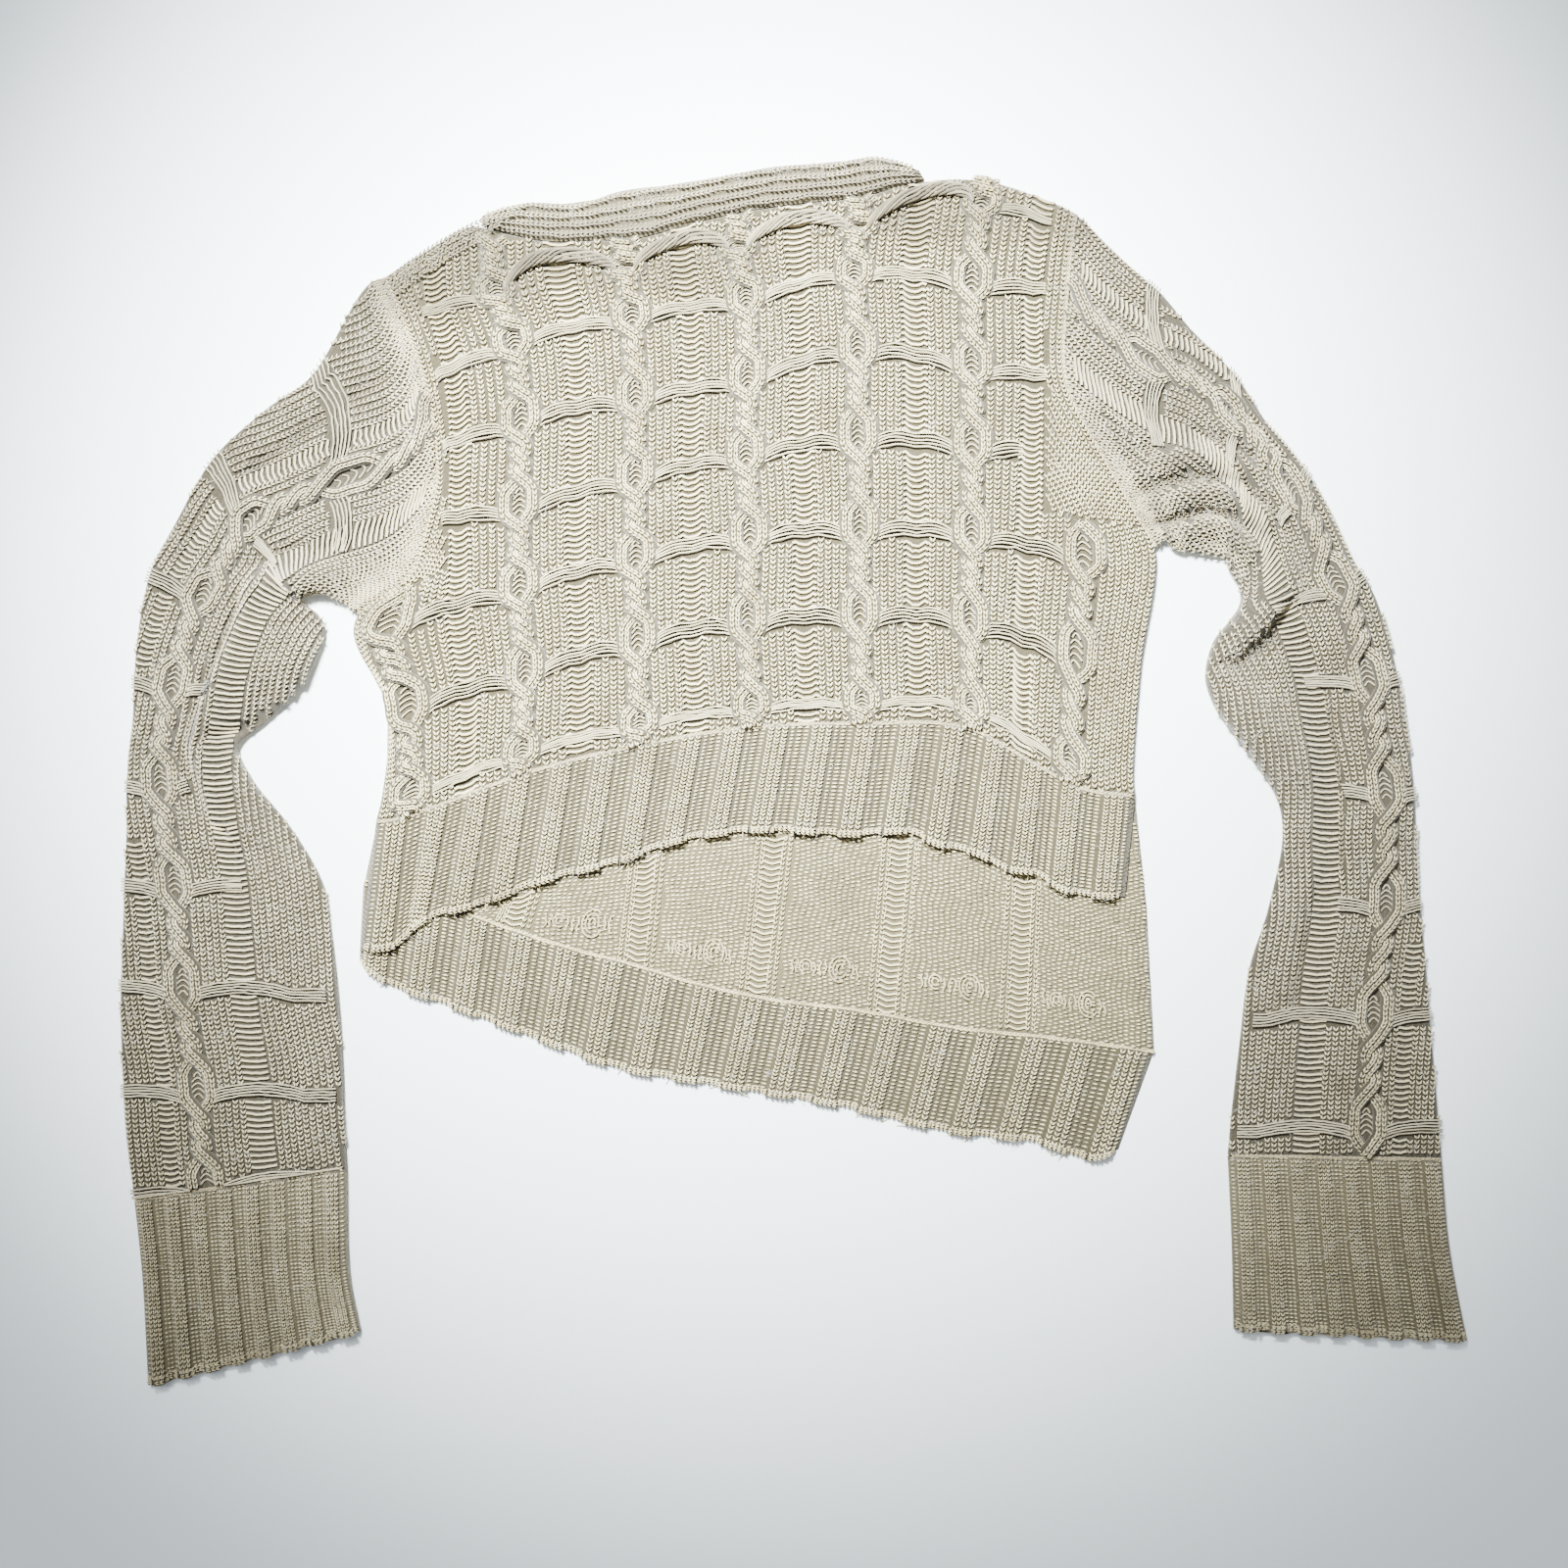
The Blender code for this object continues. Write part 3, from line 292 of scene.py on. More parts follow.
# Bottom edge of the front hem, and the back hem's seam and bottom edge, from left to right
FRONT_HEM_EDGE = ((-221, -91), (-202, -88), (-192, -78), (-158, -67), (-129, -56), (-91, -46),
                  (-58, -35), (-25, -30), (35, -32), (58, -31), (72, -37), (95, -43), (105, -49),
                  (122, -52), (136, -60), (168, -64))
BACK_HEM_SEAM = ((-220, -58), (-170, -71), (-132, -84), (-109, -91), (-85, -97), (-55, -106),
                 (-15, -115), (32, -121), (83, -130), (130, -135), (183, -142))
BACK_HEM_EDGE = ((-222, -96), (-212, -104), (-174, -119), (-132, -135), (-91, -150), (-46, -158),
                 (25, -170), (81, -183), (122, -188), (156, -196), (165, -192))

# Columns of the back's inside, where it shows below the front's hem: a ladder at each whole
# number and the back of a cable half way between. x_upper is beside the front hem's edge,
# x_lower at the back hem's seam.
InsideColumn = namedtuple("InsideColumn", "column x_upper x_lower")
INSIDE_COLUMNS = (
    InsideColumn(-1.3, -219, -220),
    InsideColumn(0.0, -138, -145),
    InsideColumn(1.0, -75, -81),
    InsideColumn(2.0, -10, -20),
    InsideColumn(3.0, 54, 46),
    InsideColumn(4.0, 117, 113),
    InsideColumn(5.1, 179, 183),
)
# Backs of the cable crossings that show there: column, and share of the way down to the seam
InsideKnot = namedtuple("InsideKnot", "column depth")
INSIDE_KNOTS = (InsideKnot(0.5, 0.65), InsideKnot(1.5, 0.78), InsideKnot(2.5, 0.78),
                InsideKnot(3.5, 0.76), InsideKnot(4.45, 0.74))

# Neckband's upper edge, and from where to where its lower edge follows the front's top edge
NECKBAND_TOP = ((-159, 283), (-140, 289), (-106, 290), (-91, 295), (-62, 299), (-38, 303),
                (-10, 308), (19, 310), (45, 312.5), (56, 309), (63, 306))
NECKBAND_FROM_X = -159.0
NECKBAND_TO_X = 66.0

# Sleeves: a row for each cross-section, from the armhole to the cuff. cable_at is the main
# cable's place across the sleeve, from 0 at the outer edge to 1 at the inner one.
Section = namedtuple("Section", "outer inner cable_at")
LEFT_SLEEVE = (
    Section((-208, 252), (-222, 80), 0.36),
    Section((-224, 239), (-233, 88), 0.53),
    Section((-244, 204), (-243, 91), 0.49),
    Section((-270, 184), (-251, 88), 0.50),
    Section((-295, 161), (-252, 85), 0.43),
    Section((-315, 127), (-242, 80), 0.37),
    Section((-327, 104), (-239, 71), 0.32),
    Section((-333, 79), (-243, 58), 0.28),
    Section((-336, 51), (-251, 43), 0.25),
    Section((-337, 26), (-270, 25), 0.27),
    Section((-339, 9), (-283, 13), 0.30),
    Section((-340, -6), (-276, -3), 0.28),
    Section((-340, -28), (-257, -27), 0.25),
    Section((-341, -54), (-241, -54), 0.26),
    Section((-342, -83), (-236, -81), 0.28),
    Section((-343, -116), (-232, -118), 0.30),
    Section((-342, -153), (-230, -151), 0.34),
    Section((-340, -186), (-229, -184), 0.35),
    Section((-336, -218), (-228, -201), 0.35),
)
RIGHT_SLEEVE = (
    Section((142, 281), (183, 114), 0.21),
    Section((155, 269), (188, 118), 0.25),
    Section((172, 254), (193, 114), 0.27),
    Section((188, 241), (198, 112), 0.28),
    Section((200, 227), (205, 111), 0.24),
    Section((211, 216), (212, 110), 0.23),
    Section((225, 201), (218, 109), 0.22),
    Section((240, 178), (221, 102), 0.17),
    Section((256, 159), (226, 93), 0.14),
    Section((270, 137), (226, 85), 0.17),
    Section((283, 110), (220, 76), 0.16),
    Section((294, 92), (213, 67), 0.18),
    Section((301, 72), (209, 54), 0.17),
    Section((307, 47), (210, 41), 0.16),
    Section((311, 24), (218, 26), 0.18),
    Section((313, 9), (230, 10), 0.19),
    Section((315, -12), (244, -11), 0.21),
    Section((316, -36), (248, -31), 0.24),
    Section((318, -66), (241, -68), 0.23),
    Section((321, -101), (231, -100), 0.28),
    Section((324, -138), (226, -138), 0.32),
    Section((327, -173), (222, -173), 0.35),
    Section((329, -197), (220, -195), 0.36),
)

# Cuffs: the same sections, from the sleeve to the open end
LEFT_CUFF = (
    Section((-336, -218), (-228, -201), 0.35),
    Section((-332, -257), (-227, -250), 0.35),
    Section((-329, -312), (-221, -284), 0.35),
)
RIGHT_CUFF = (
    Section((329, -197), (220, -195), 0.36),
    Section((333, -241), (222, -237), 0.36),
    Section((342, -289), (223, -283), 0.36),
)

# Where the eyes of the main cable lie, measured along it from the armhole, and how far across
# the sleeve the bar of each eye runs before a fold hides it
Eye = namedtuple("Eye", "along bar_to")
LEFT_EYES = (Eye(3, 0.8), Eye(46, 0.8), Eye(91, 0.75), Eye(135, 0.4), Eye(183, 0.5), Eye(234, 0.5),
             Eye(286, 0.6), Eye(338, 0.95), Eye(391, 0.97), Eye(440, 0.97))
RIGHT_EYES = (Eye(3, 0.5), Eye(49, 0.6), Eye(94, 0.5), Eye(144, 0.45), Eye(196, 0.5), Eye(247, 0.5),
              Eye(305, 0.5), Eye(362, 0.55), Eye(419, 0.95), Eye(476, 0.97))

# Largest folds: a line on the cloth, its height over the cloth or depth below it, and how far
# it reaches to the left and to the right of the line as the line is followed
Fold = namedtuple("Fold", "name line height left_reach right_reach")
LEFT_FOLDS = (
    Fold("shoulder groove", ((-210, 199), (-255, 168), (-291, 139), (-314, 102)), -1.8, 5, 5),
    Fold("armpit roll", ((-232, 98), (-256, 98), (-272, 95)), 5.0, 12, 9),
    Fold("elbow ridge", ((-272, 95), (-282, 70), (-296, 36), (-303, 14), (-297, -6),
                         (-290, -24)), 6.5, 22, 6),
    Fold("elbow lobe", ((-256, 74), (-254, 60), (-262, 42)), 5.0, 14, 16),
    Fold("lobe crease", ((-262, 29), (-279, 22), (-296, 18)), -3.5, 4, 5),
)
RIGHT_FOLDS = (
    Fold("first armpit fold", ((176, 152), (200, 160), (228, 152)), 3.6, 7, 7),
    Fold("second armpit fold", ((182, 134), (210, 141), (240, 128)), 4.6, 7, 7),
    Fold("third armpit fold", ((192, 120), (214, 124), (232, 112)), 4.0, 6, 7),
    Fold("tucked fold", ((252, 96), (238, 78), (222, 62)), 6.5, 6, 14),
    Fold("tuck groove", ((252, 84), (238, 66), (222, 53)), -3.5, 5, 4),
    Fold("elbow lobe", ((222, 44), (232, 26), (248, 4)), 5.0, 18, 16),
    Fold("long groove", ((255, 72), (264, 45), (271, 26), (274, -8), (274, -50), (266, -70),
                         (253, -123)), -2.4, 5, 6),
)
# Narrow creases between the folds
LEFT_CREASES = (
    Fold("beside the elbow ridge", ((-281, 92), (-289, 68), (-302, 38), (-309, 8)), -2.2, 3, 3),
    Fold("above the armpit roll", ((-236, 112), (-258, 113), (-278, 104)), -1.6, 4, 4),
    Fold("outer upper arm", ((-262, 196), (-292, 158), (-318, 118)), -1.2, 4, 4),
)
RIGHT_CREASES = (
    Fold("above the first fold", ((176, 164), (200, 171), (232, 162), (250, 140)), -1.8, 4, 4),
    Fold("under the first fold", ((174, 141), (204, 150), (234, 141), (250, 122)), -2.6, 4, 4),
    Fold("under the second fold", ((184, 125), (212, 132), (240, 118)), -2.6, 4, 4),
    Fold("upper arm", ((206, 196), (236, 172), (262, 138)), -1.4, 4, 4),
)


# Curves, the front's lattice, folds and sleeves

def smooth_step(low, high, value):
    share = np.clip((value - low) / (high - low), 0.0, 1.0)
    return share * share * (3.0 - 2.0 * share)


def smooth_curve(marks, values, at):
    """Cubic curve through values (first axis) placed at rising marks, read at each of at."""
    marks = np.asarray(marks, float)
    values = np.asarray(values, float)
    at = np.clip(np.asarray(at, float), marks[0], marks[-1])
    slopes = np.gradient(values, marks, axis=0)
    low = np.clip(np.searchsorted(marks, at, side="right") - 1, 0, len(marks) - 2)
    span = marks[low + 1] - marks[low]
    f = (at - marks[low]) / span
    shape = (-1,) + (1,) * (values.ndim - 1)
    f, span = f.reshape(shape), span.reshape(shape)
    return ((1 + 2 * f) * (1 - f) ** 2 * values[low] + f * (1 - f) ** 2 * span * slopes[low]
            + f * f * (3 - 2 * f) * values[low + 1] - f * f * (1 - f) * span * slopes[low + 1])


def run_lengths(points):
    """Distance run along a row of points, at each of them."""
    steps = np.linalg.norm(np.diff(points, axis=0), axis=1)
    return np.concatenate([[0.0], np.cumsum(steps)])


def grid_runs(points, axis):
    """Distance run down (axis 0) or across (axis 1) a grid of points, at each of them."""
    runs = np.cumsum(np.linalg.norm(np.diff(points, axis=axis), axis=2), axis=axis)
    return np.insert(runs, 0, 0.0, axis=axis)


def read_along(marks, lengths, points):
    """Points read at marks of the distance run along them."""
    return np.stack([np.interp(marks, lengths, part) for part in points.T], axis=1)


def fine_curve(points, count=FINE_COUNT):
    """A smooth curve through points, as many points close together."""
    points = np.asarray(points, float)
    marks = run_lengths(points)
    return smooth_curve(marks, points, np.linspace(0.0, marks[-1], count))


def along_row(row, shares):
    """Points at the given shares of the length of a row of points."""
    lengths = run_lengths(row)
    return read_along(np.asarray(shares) * lengths[-1], lengths, row)


def even_curve(points, shares):
    return along_row(fine_curve(points), shares)


def edge_height(edge, x):
    """Y of a left-to-right edge at x."""
    fine = fine_curve(edge)
    return np.interp(x, fine[:, 0], fine[:, 1])


LEVELS = np.array([row.level for row in FRONT_LATTICE])
LATTICE = np.array([row[2:] for row in FRONT_LATTICE], float)


def front_points(levels, columns):
    """Places on the front, one row for each level and one column for each cable coordinate."""
    rows = smooth_curve(LEVELS, LATTICE, levels)
    places = np.stack([smooth_curve(COLUMN_MARKS, row, columns) for row in rows])
    top = smooth_curve(COLUMN_MARKS, LATTICE[0], columns)
    rise = edge_height(FRONT_TOP_EDGE, top[:, 0]) - top[:, 1]
    drawn = np.clip(1.0 - np.asarray(levels) / DRAWN_LEVEL, 0.0, 1.0) ** 2
    places[..., 1] += drawn[:, None] * rise[None, :]
    return places


def front_foot():
    """The front's lower edge, where its hem rib is sewn on."""
    return front_points(LEVELS[-1:], np.linspace(*FRONT_EDGES, FINE_COUNT))[0]


def armhole(side, shares):
    """Armhole seam from shoulder to armpit; side is 0 for the left edge and -1 for the right."""
    levels = np.linspace(0.0, ARMPIT_LEVEL, FINE_COUNT)
    return along_row(smooth_curve(LEVELS, LATTICE[:, side], levels), shares)


def fold_relief(points, folds):
    """Height that the folds give to each of a grid of places."""
    height = np.zeros(points.shape[:-1])
    for fold in folds:
        fine = fine_curve(fold.line, 40)
        starts, steps = fine[:-1], np.diff(fine, axis=0)
        best = np.full(height.shape, np.inf)
        turned = np.zeros(height.shape)
        share = np.zeros(height.shape)
        for k, (start, step) in enumerate(zip(starts, steps)):
            offset = points - start
            f = np.clip((offset @ step) / (step @ step), 0.0, 1.0)
            away = offset - f[..., None] * step
            distance = np.linalg.norm(away, axis=-1)
            side = step[0] * away[..., 1] - step[1] * away[..., 0]
            nearer = distance < best
            best = np.where(nearer, distance, best)
            turned = np.where(nearer, side, turned)
            share = np.where(nearer, (k + f) / len(steps), share)
        reach = np.where(turned > 0, fold.left_reach, fold.right_reach)
        profile = np.clip(1.0 - (best / reach / FOLD_SPREAD) ** 2, 0.0, 1.0) ** 2
        middle = np.sin(np.pi * np.clip(share, 0.03, 0.97)) ** 0.6
        ends = FOLD_END_SHARE + (1.0 - FOLD_END_SHARE) * middle
        height += fold.height * profile * ends
    return height


class Sleeve:
    """A flattened tube through sections, with its main cable, bars and folds."""

    def __init__(self, sections, eyes, folds, side):
        self.outer = np.array([s.outer for s in sections], float)
        self.inner = np.array([s.inner for s in sections], float)
        width = np.linalg.norm(self.inner - self.outer, axis=1)
        room = (CABLE_HALF + 2 * TUBE_ROUNDING) / width
        self.cable = np.maximum([s.cable_at for s in sections], room)
        self.eyes = eyes
        self.folds = folds
        self.side = side
        self.marks = run_lengths(self.outer + (self.inner - self.outer) * self.cable[:, None])
        self.length = self.marks[-1]

    def span(self, along):
        """Width of the sleeve and the cable's share of it, measured from the outer edge."""
        outer, inner, cable = [smooth_curve(self.marks, values, along)
                               for values in (self.outer, self.inner, self.cable)]
        return np.linalg.norm(inner - outer, axis=1), cable

    def place(self, along, across):
        """Places for rings at along, with the same shares across for each ring."""
        outer = smooth_curve(self.marks, self.outer, along)
        inner = smooth_curve(self.marks, self.inner, along)
        points = outer[:, None] + (inner - outer)[:, None] * across[None, :, None]
        if self.side is None:
            return points
        chord = self.outer[0] + (self.inner[0] - self.outer[0]) * across[:, None]
        bend = armhole(self.side, across) - chord
        for k, amount in enumerate(1.0 - smooth_step(0.0, ARMHOLE_BLEND, np.asarray(along))):
            if amount > 0.0:
                points[k] += bend * amount
        return points


def off_seam(points, side):
    """Moves an armhole row off the body by the seam gap."""
    steps = np.gradient(points, axis=0)
    normals = np.stack([steps[:, 1], -steps[:, 0]], axis=1)
    normals /= np.linalg.norm(normals, axis=1)[:, None]
    outward = 1.0 if side == 0 else -1.0
    return points + normals * outward * ARMHOLE_GAP


# Smooth surfaces of the cloth

class Cloth:
    """Upper face of a piece: a fine grid of points, read anywhere between them."""

    def __init__(self, rows, columns, places, tops):
        self.rows = np.asarray(rows, float)
        self.columns = np.asarray(columns, float)
        points = np.concatenate([places, tops[..., None]], axis=2)
        down = np.gradient(points, self.rows, axis=0)
        side = np.gradient(points, self.columns, axis=1)
        row_step = np.linalg.norm(down, axis=2, keepdims=True)
        column_step = np.linalg.norm(side, axis=2, keepdims=True)
        out = np.cross(down, side)
        out *= np.where(out[..., 2:] < 0, -1.0, 1.0)
        out /= np.linalg.norm(out, axis=2, keepdims=True) + 1e-9
        down, side = down / (row_step + 1e-9), side / (column_step + 1e-9)
        self.grid = np.concatenate([points, down, side, out, row_step, column_step], axis=2)

    def read(self, along, across):
        """Spots on the cloth; along and across are arrays of one shape."""
        along, across = np.broadcast_arrays(np.asarray(along, float), np.asarray(across, float))
        j = np.interp(along, self.rows, np.arange(len(self.rows)))
        i = np.interp(across, self.columns, np.arange(len(self.columns)))
        low_j = np.minimum(j.astype(int), len(self.rows) - 2)
        low_i = np.minimum(i.astype(int), len(self.columns) - 2)
        f, g = (j - low_j)[..., None], (i - low_i)[..., None]
        upper = self.grid[low_j, low_i] * (1 - g) + self.grid[low_j, low_i + 1] * g
        lower = self.grid[low_j + 1, low_i] * (1 - g) + self.grid[low_j + 1, low_i + 1] * g
        return Spot(upper * (1 - f) + lower * f)

    def lengths(self, rows, columns):
        """Distance run along a line on the cloth."""
        return run_lengths(self.read(rows, columns).point)


class Spot:
    """Places on a cloth, with directions down and across it, out of it, and its local scale."""

    def __init__(self, values):
        self.point = values[..., 0:3]
        self.down = values[..., 3:6]
        self.side = values[..., 6:9]
        self.out = values[..., 9:12]
        self.row_step = values[..., 12]
        self.column_step = values[..., 13]


def bump(value, middle, half):
    """A smooth hill, 1 at the middle and 0 from half away."""
    return np.clip(1.0 - ((value - middle) / half) ** 2, 0.0, 1.0) ** 2


def soft_waves(places, height):
    """Slight unevenness of laid cloth."""
    x, y = places[..., 0], places[..., 1]
    waves = np.sin(x / 17.0 + 1.3 * np.sin(y / 29.0)) * np.sin(y / 21.0 + 0.7 * np.sin(x / 31.0))
    waves = waves + 0.6 * np.sin((x + y) / 11.0 + np.sin(x / 13.0)) * np.sin((x - y) / 16.0)
    return height * waves


def edge_rounding(places, sides, drop):
    """How far the cloth's edges fall: sides names which of top, bottom, left and right do."""
    from_top, from_left = grid_runs(places, 0), grid_runs(places, 1)
    away = {"left": from_left, "right": from_left[:, -1:] - from_left,
            "top": from_top, "bottom": from_top[-1:] - from_top}
    fall = np.zeros(places.shape[:2])
    for side in sides:
        share = np.clip(1.0 - away[side] / EDGE_ROUNDING, 0.0, 1.0)
        fall = np.maximum(fall, 1.0 - np.sqrt(1.0 - share ** 2))
    return drop * fall


# The front's pattern: places in a tile, from the cable on its left to the next

def bar_middle(x):
    """How far below its eyes a bar's middle runs, at x millimetres past the cable on its left."""
    u = np.clip((x - BAR_END) / (PITCH - 2 * BAR_END), 0.0, 1.0)
    hump = BAR_HUMP * np.exp(-((x - LADDER_MIDDLE) / BAR_HUMP_HALF) ** 2)
    return BAR_SAG - BAR_ARCH * np.sin(np.pi * u) ** 0.7 + hump


def in_bar(x, below, above=BAR_ABOVE, under=BAR_UNDER):
    """Whether a place is under a bar's floats; below is how far it lies below the eyes."""
    past = below - bar_middle(x)
    return (past > -above) & (past < under)


def bar_span(tile, row):
    """From where to where the bar of a row runs in a tile, in millimetres past its left cable."""
    span = BAR_SPANS[row - 1]
    start = span.left_tile_from if tile == 0 else BAR_END
    end = span.right_tile_to if tile == TILES - 1 else PITCH - BAR_END
    return start, end


TILE_SPANS = np.array([[bar_span(tile, row + 1) for row in range(LAST_ROW)]
                       for tile in range(TILES)], float)
STRAND_MARKS = np.linspace(0.0, ROW_HEIGHT, 173)
STRAND_PLACES = smooth_curve([mark.below for mark in STRAND], [mark[1:] for mark in STRAND],
                             STRAND_MARKS)


def strand_at(below, number=0):
    """Across and lift of both strands at a distance below the eye of a number.

    Each strand changes sides from one eye to the next, so they take turns.
    """
    below = np.mod(below, ROW_HEIGHT)
    across, over, under = [np.interp(below, STRAND_MARKS, part) for part in STRAND_PLACES.T]
    odd = np.mod(number, 2) == 1
    first = (np.where(odd, -across, across), np.where(odd, under, over))
    second = (np.where(odd, across, -across), np.where(odd, over, under))
    return first, second


def cable_half(below):
    return np.maximum(np.abs(strand_at(below)[0][0]) + 3.3, 6.3)


def past_column(s, column):
    """Millimetres from a cable to a cable coordinate next to it."""
    right = np.where(s > LAST_CABLE, (s - LAST_CABLE) * RIGHT_OF_CABLES, (s - column) * PITCH)
    return np.where(s < 0, s * LEFT_OF_CABLES, right)


def tile_place(s):
    """Tile of a cable coordinate, millimetres past its left cable, and whether it has bars."""
    tile = np.clip(np.floor(s), -1, LAST_CABLE)
    return tile, past_column(s, tile), (tile >= 0) & (tile < TILES)


def nearest_cable(s):
    """Millimetres from the nearest cable, and whether it is one of the outermost ones."""
    column = np.clip(np.round(s), 0, LAST_CABLE)
    return past_column(s, column), (column == 0) | (column == LAST_CABLE)


def cable_coordinate(column, x):
    """Cable coordinate of a place x millimetres right of a cable."""
    x = np.asarray(x, float)
    left = LEFT_OF_CABLES if column == 0 else PITCH
    right = RIGHT_OF_CABLES if column == LAST_CABLE else PITCH
    return column + np.where(x < 0, x / left, x / right)


def on_front_cable(s, t):
    """Whether a place is under a cable's strands."""
    off, outermost = nearest_cable(s)
    inside = np.abs(off) < cable_half((t - np.floor(t)) * ROW_HEIGHT)
    return inside & (~outermost | (t > CABLES_FROM_LEVEL))


def under_front_bar(s, t):
    """Whether a place is under the floats of a bar that isn't twisted."""
    tile, x, held = tile_place(s)
    row = np.clip(np.round(t), 1, LAST_ROW).astype(int)
    k = np.clip(tile, 0, TILES - 1).astype(int)
    start, end = TILE_SPANS[k, row - 1].T
    twisted = (row == 1) & (k >= TWIST_TILES[0]) & (k <= TWIST_TILES[-1])
    floats = in_bar(x, (t - row) * ROW_HEIGHT)
    return held & (x > start - 1.0) & (x < end + 1.0) & floats & ~twisted


def eye_hollow(off, below):
    return np.exp(-(off / EYE_HALF[0]) ** 2 - (below / EYE_HALF[1]) ** 2)


def front_relief(columns, levels):
    """Height of the front's plain cloth: swelling blocks, sunken ladders, dips beside bars."""
    s, t = np.meshgrid(columns, levels)
    _, x, held = tile_place(s)
    below = (t - np.clip(np.round(t), 1, LAST_ROW)) * ROW_HEIGHT
    height = sum(amount * bump(x, middle, half) * held for amount, middle, half in FRONT_RELIEF)
    past = below - bar_middle(x)
    dip = sum(amount * np.exp(-((past - place) / reach) ** 2)
              for amount, place, reach in BAR_HOLLOWS)
    blocks = sum(bump(x, middle, BLOCK_HALF) for middle in BLOCK_MIDDLES)
    height -= BAR_HOLLOW_DEPTH * dip * np.clip(blocks * 1.6, 0.0, 1.0) * held
    off, outermost = nearest_cable(s)
    shown = np.where(outermost, smooth_step(4.55, 4.75, t), 1.0)
    height -= FRONT_EYE_DEPTH * shown * eye_hollow(off, below)
    return height


def front_cloth():
    rows, columns = np.linspace(0.0, FOOT_LEVEL, 376), np.linspace(*FRONT_EDGES, 801)
    places = front_points(rows, columns)
    tops = FRONT_TOP - UNDER_STITCHES + front_relief(columns, rows) + soft_waves(places, 0.45)
    tops -= edge_rounding(places, ("left", "right", "top", "bottom"), EDGE_DROP)
    return Cloth(rows, columns, places, np.maximum(tops, FRONT_FLOOR + THINNEST))


def rib_profile(phase, half=0.23, slope=0.09):
    """1 on a knit rib, 0 in the gutters, over the share of the way from gutter to gutter."""
    off = np.abs(np.mod(phase, 1.0) - 0.5)
    return 1.0 - smooth_step(half, half + slope, off)


def hem_places(top, bottom, depths, raised):
    """Grid from a seam to a hem edge; the edge's ribs reach a little past its gutters."""
    places = top + (bottom - top) * depths[:, None, None]
    down = (bottom - top) / np.linalg.norm(bottom - top, axis=1)[:, None]
    reach = smooth_step(0.8, 1.0, depths)
    return places + down * (SCALLOP * raised)[None, :, None] * reach[:, None, None]


def front_hem_cloth():
    columns, rows = np.linspace(0.0, 1.0, 721), np.linspace(0.0, 1.0, 81)
    top = along_row(front_foot(), columns) - np.array([0.0, SEAM_GAP])
    bottom = even_curve(FRONT_HEM_EDGE, columns)
    raised = rib_profile(columns * FRONT_RIBS)
    places = hem_places(top, bottom, rows, raised)
    tops = FRONT_TOP - UNDER_STITCHES + RIB_RISE * raised[None]
    tops = tops - 0.6 * (1 - raised)[None] + soft_waves(places, 0.35)
    tops -= edge_rounding(places, ("left", "right", "bottom"), EDGE_DROP)
    tops -= edge_rounding(places, ("top",), HEM_SEAM_DROP)
    return Cloth(rows, columns, places, np.maximum(tops, FRONT_FLOOR + THINNEST))


def back_hem_cloth():
    columns, rows = np.linspace(0.0, 1.0, 681), np.linspace(0.0, 1.0, 81)
    top = even_curve(BACK_HEM_SEAM, columns) - np.array([0.0, SEAM_GAP])
    bottom = even_curve(BACK_HEM_EDGE, columns)
    raised = rib_profile(columns * BACK_RIBS)
    places = hem_places(top, bottom, rows, raised)
    covered = edge_height(FRONT_HEM_EDGE, places[..., 0]) - places[..., 1]
    tops = BACK_TOP + smooth_step(0.0, 4.0, covered) * (RIB_RISE * raised[None] - 0.4)
    tops -= edge_rounding(places, ("left", "right", "bottom"), EDGE_DROP)
    return Cloth(rows, columns, places, tops)


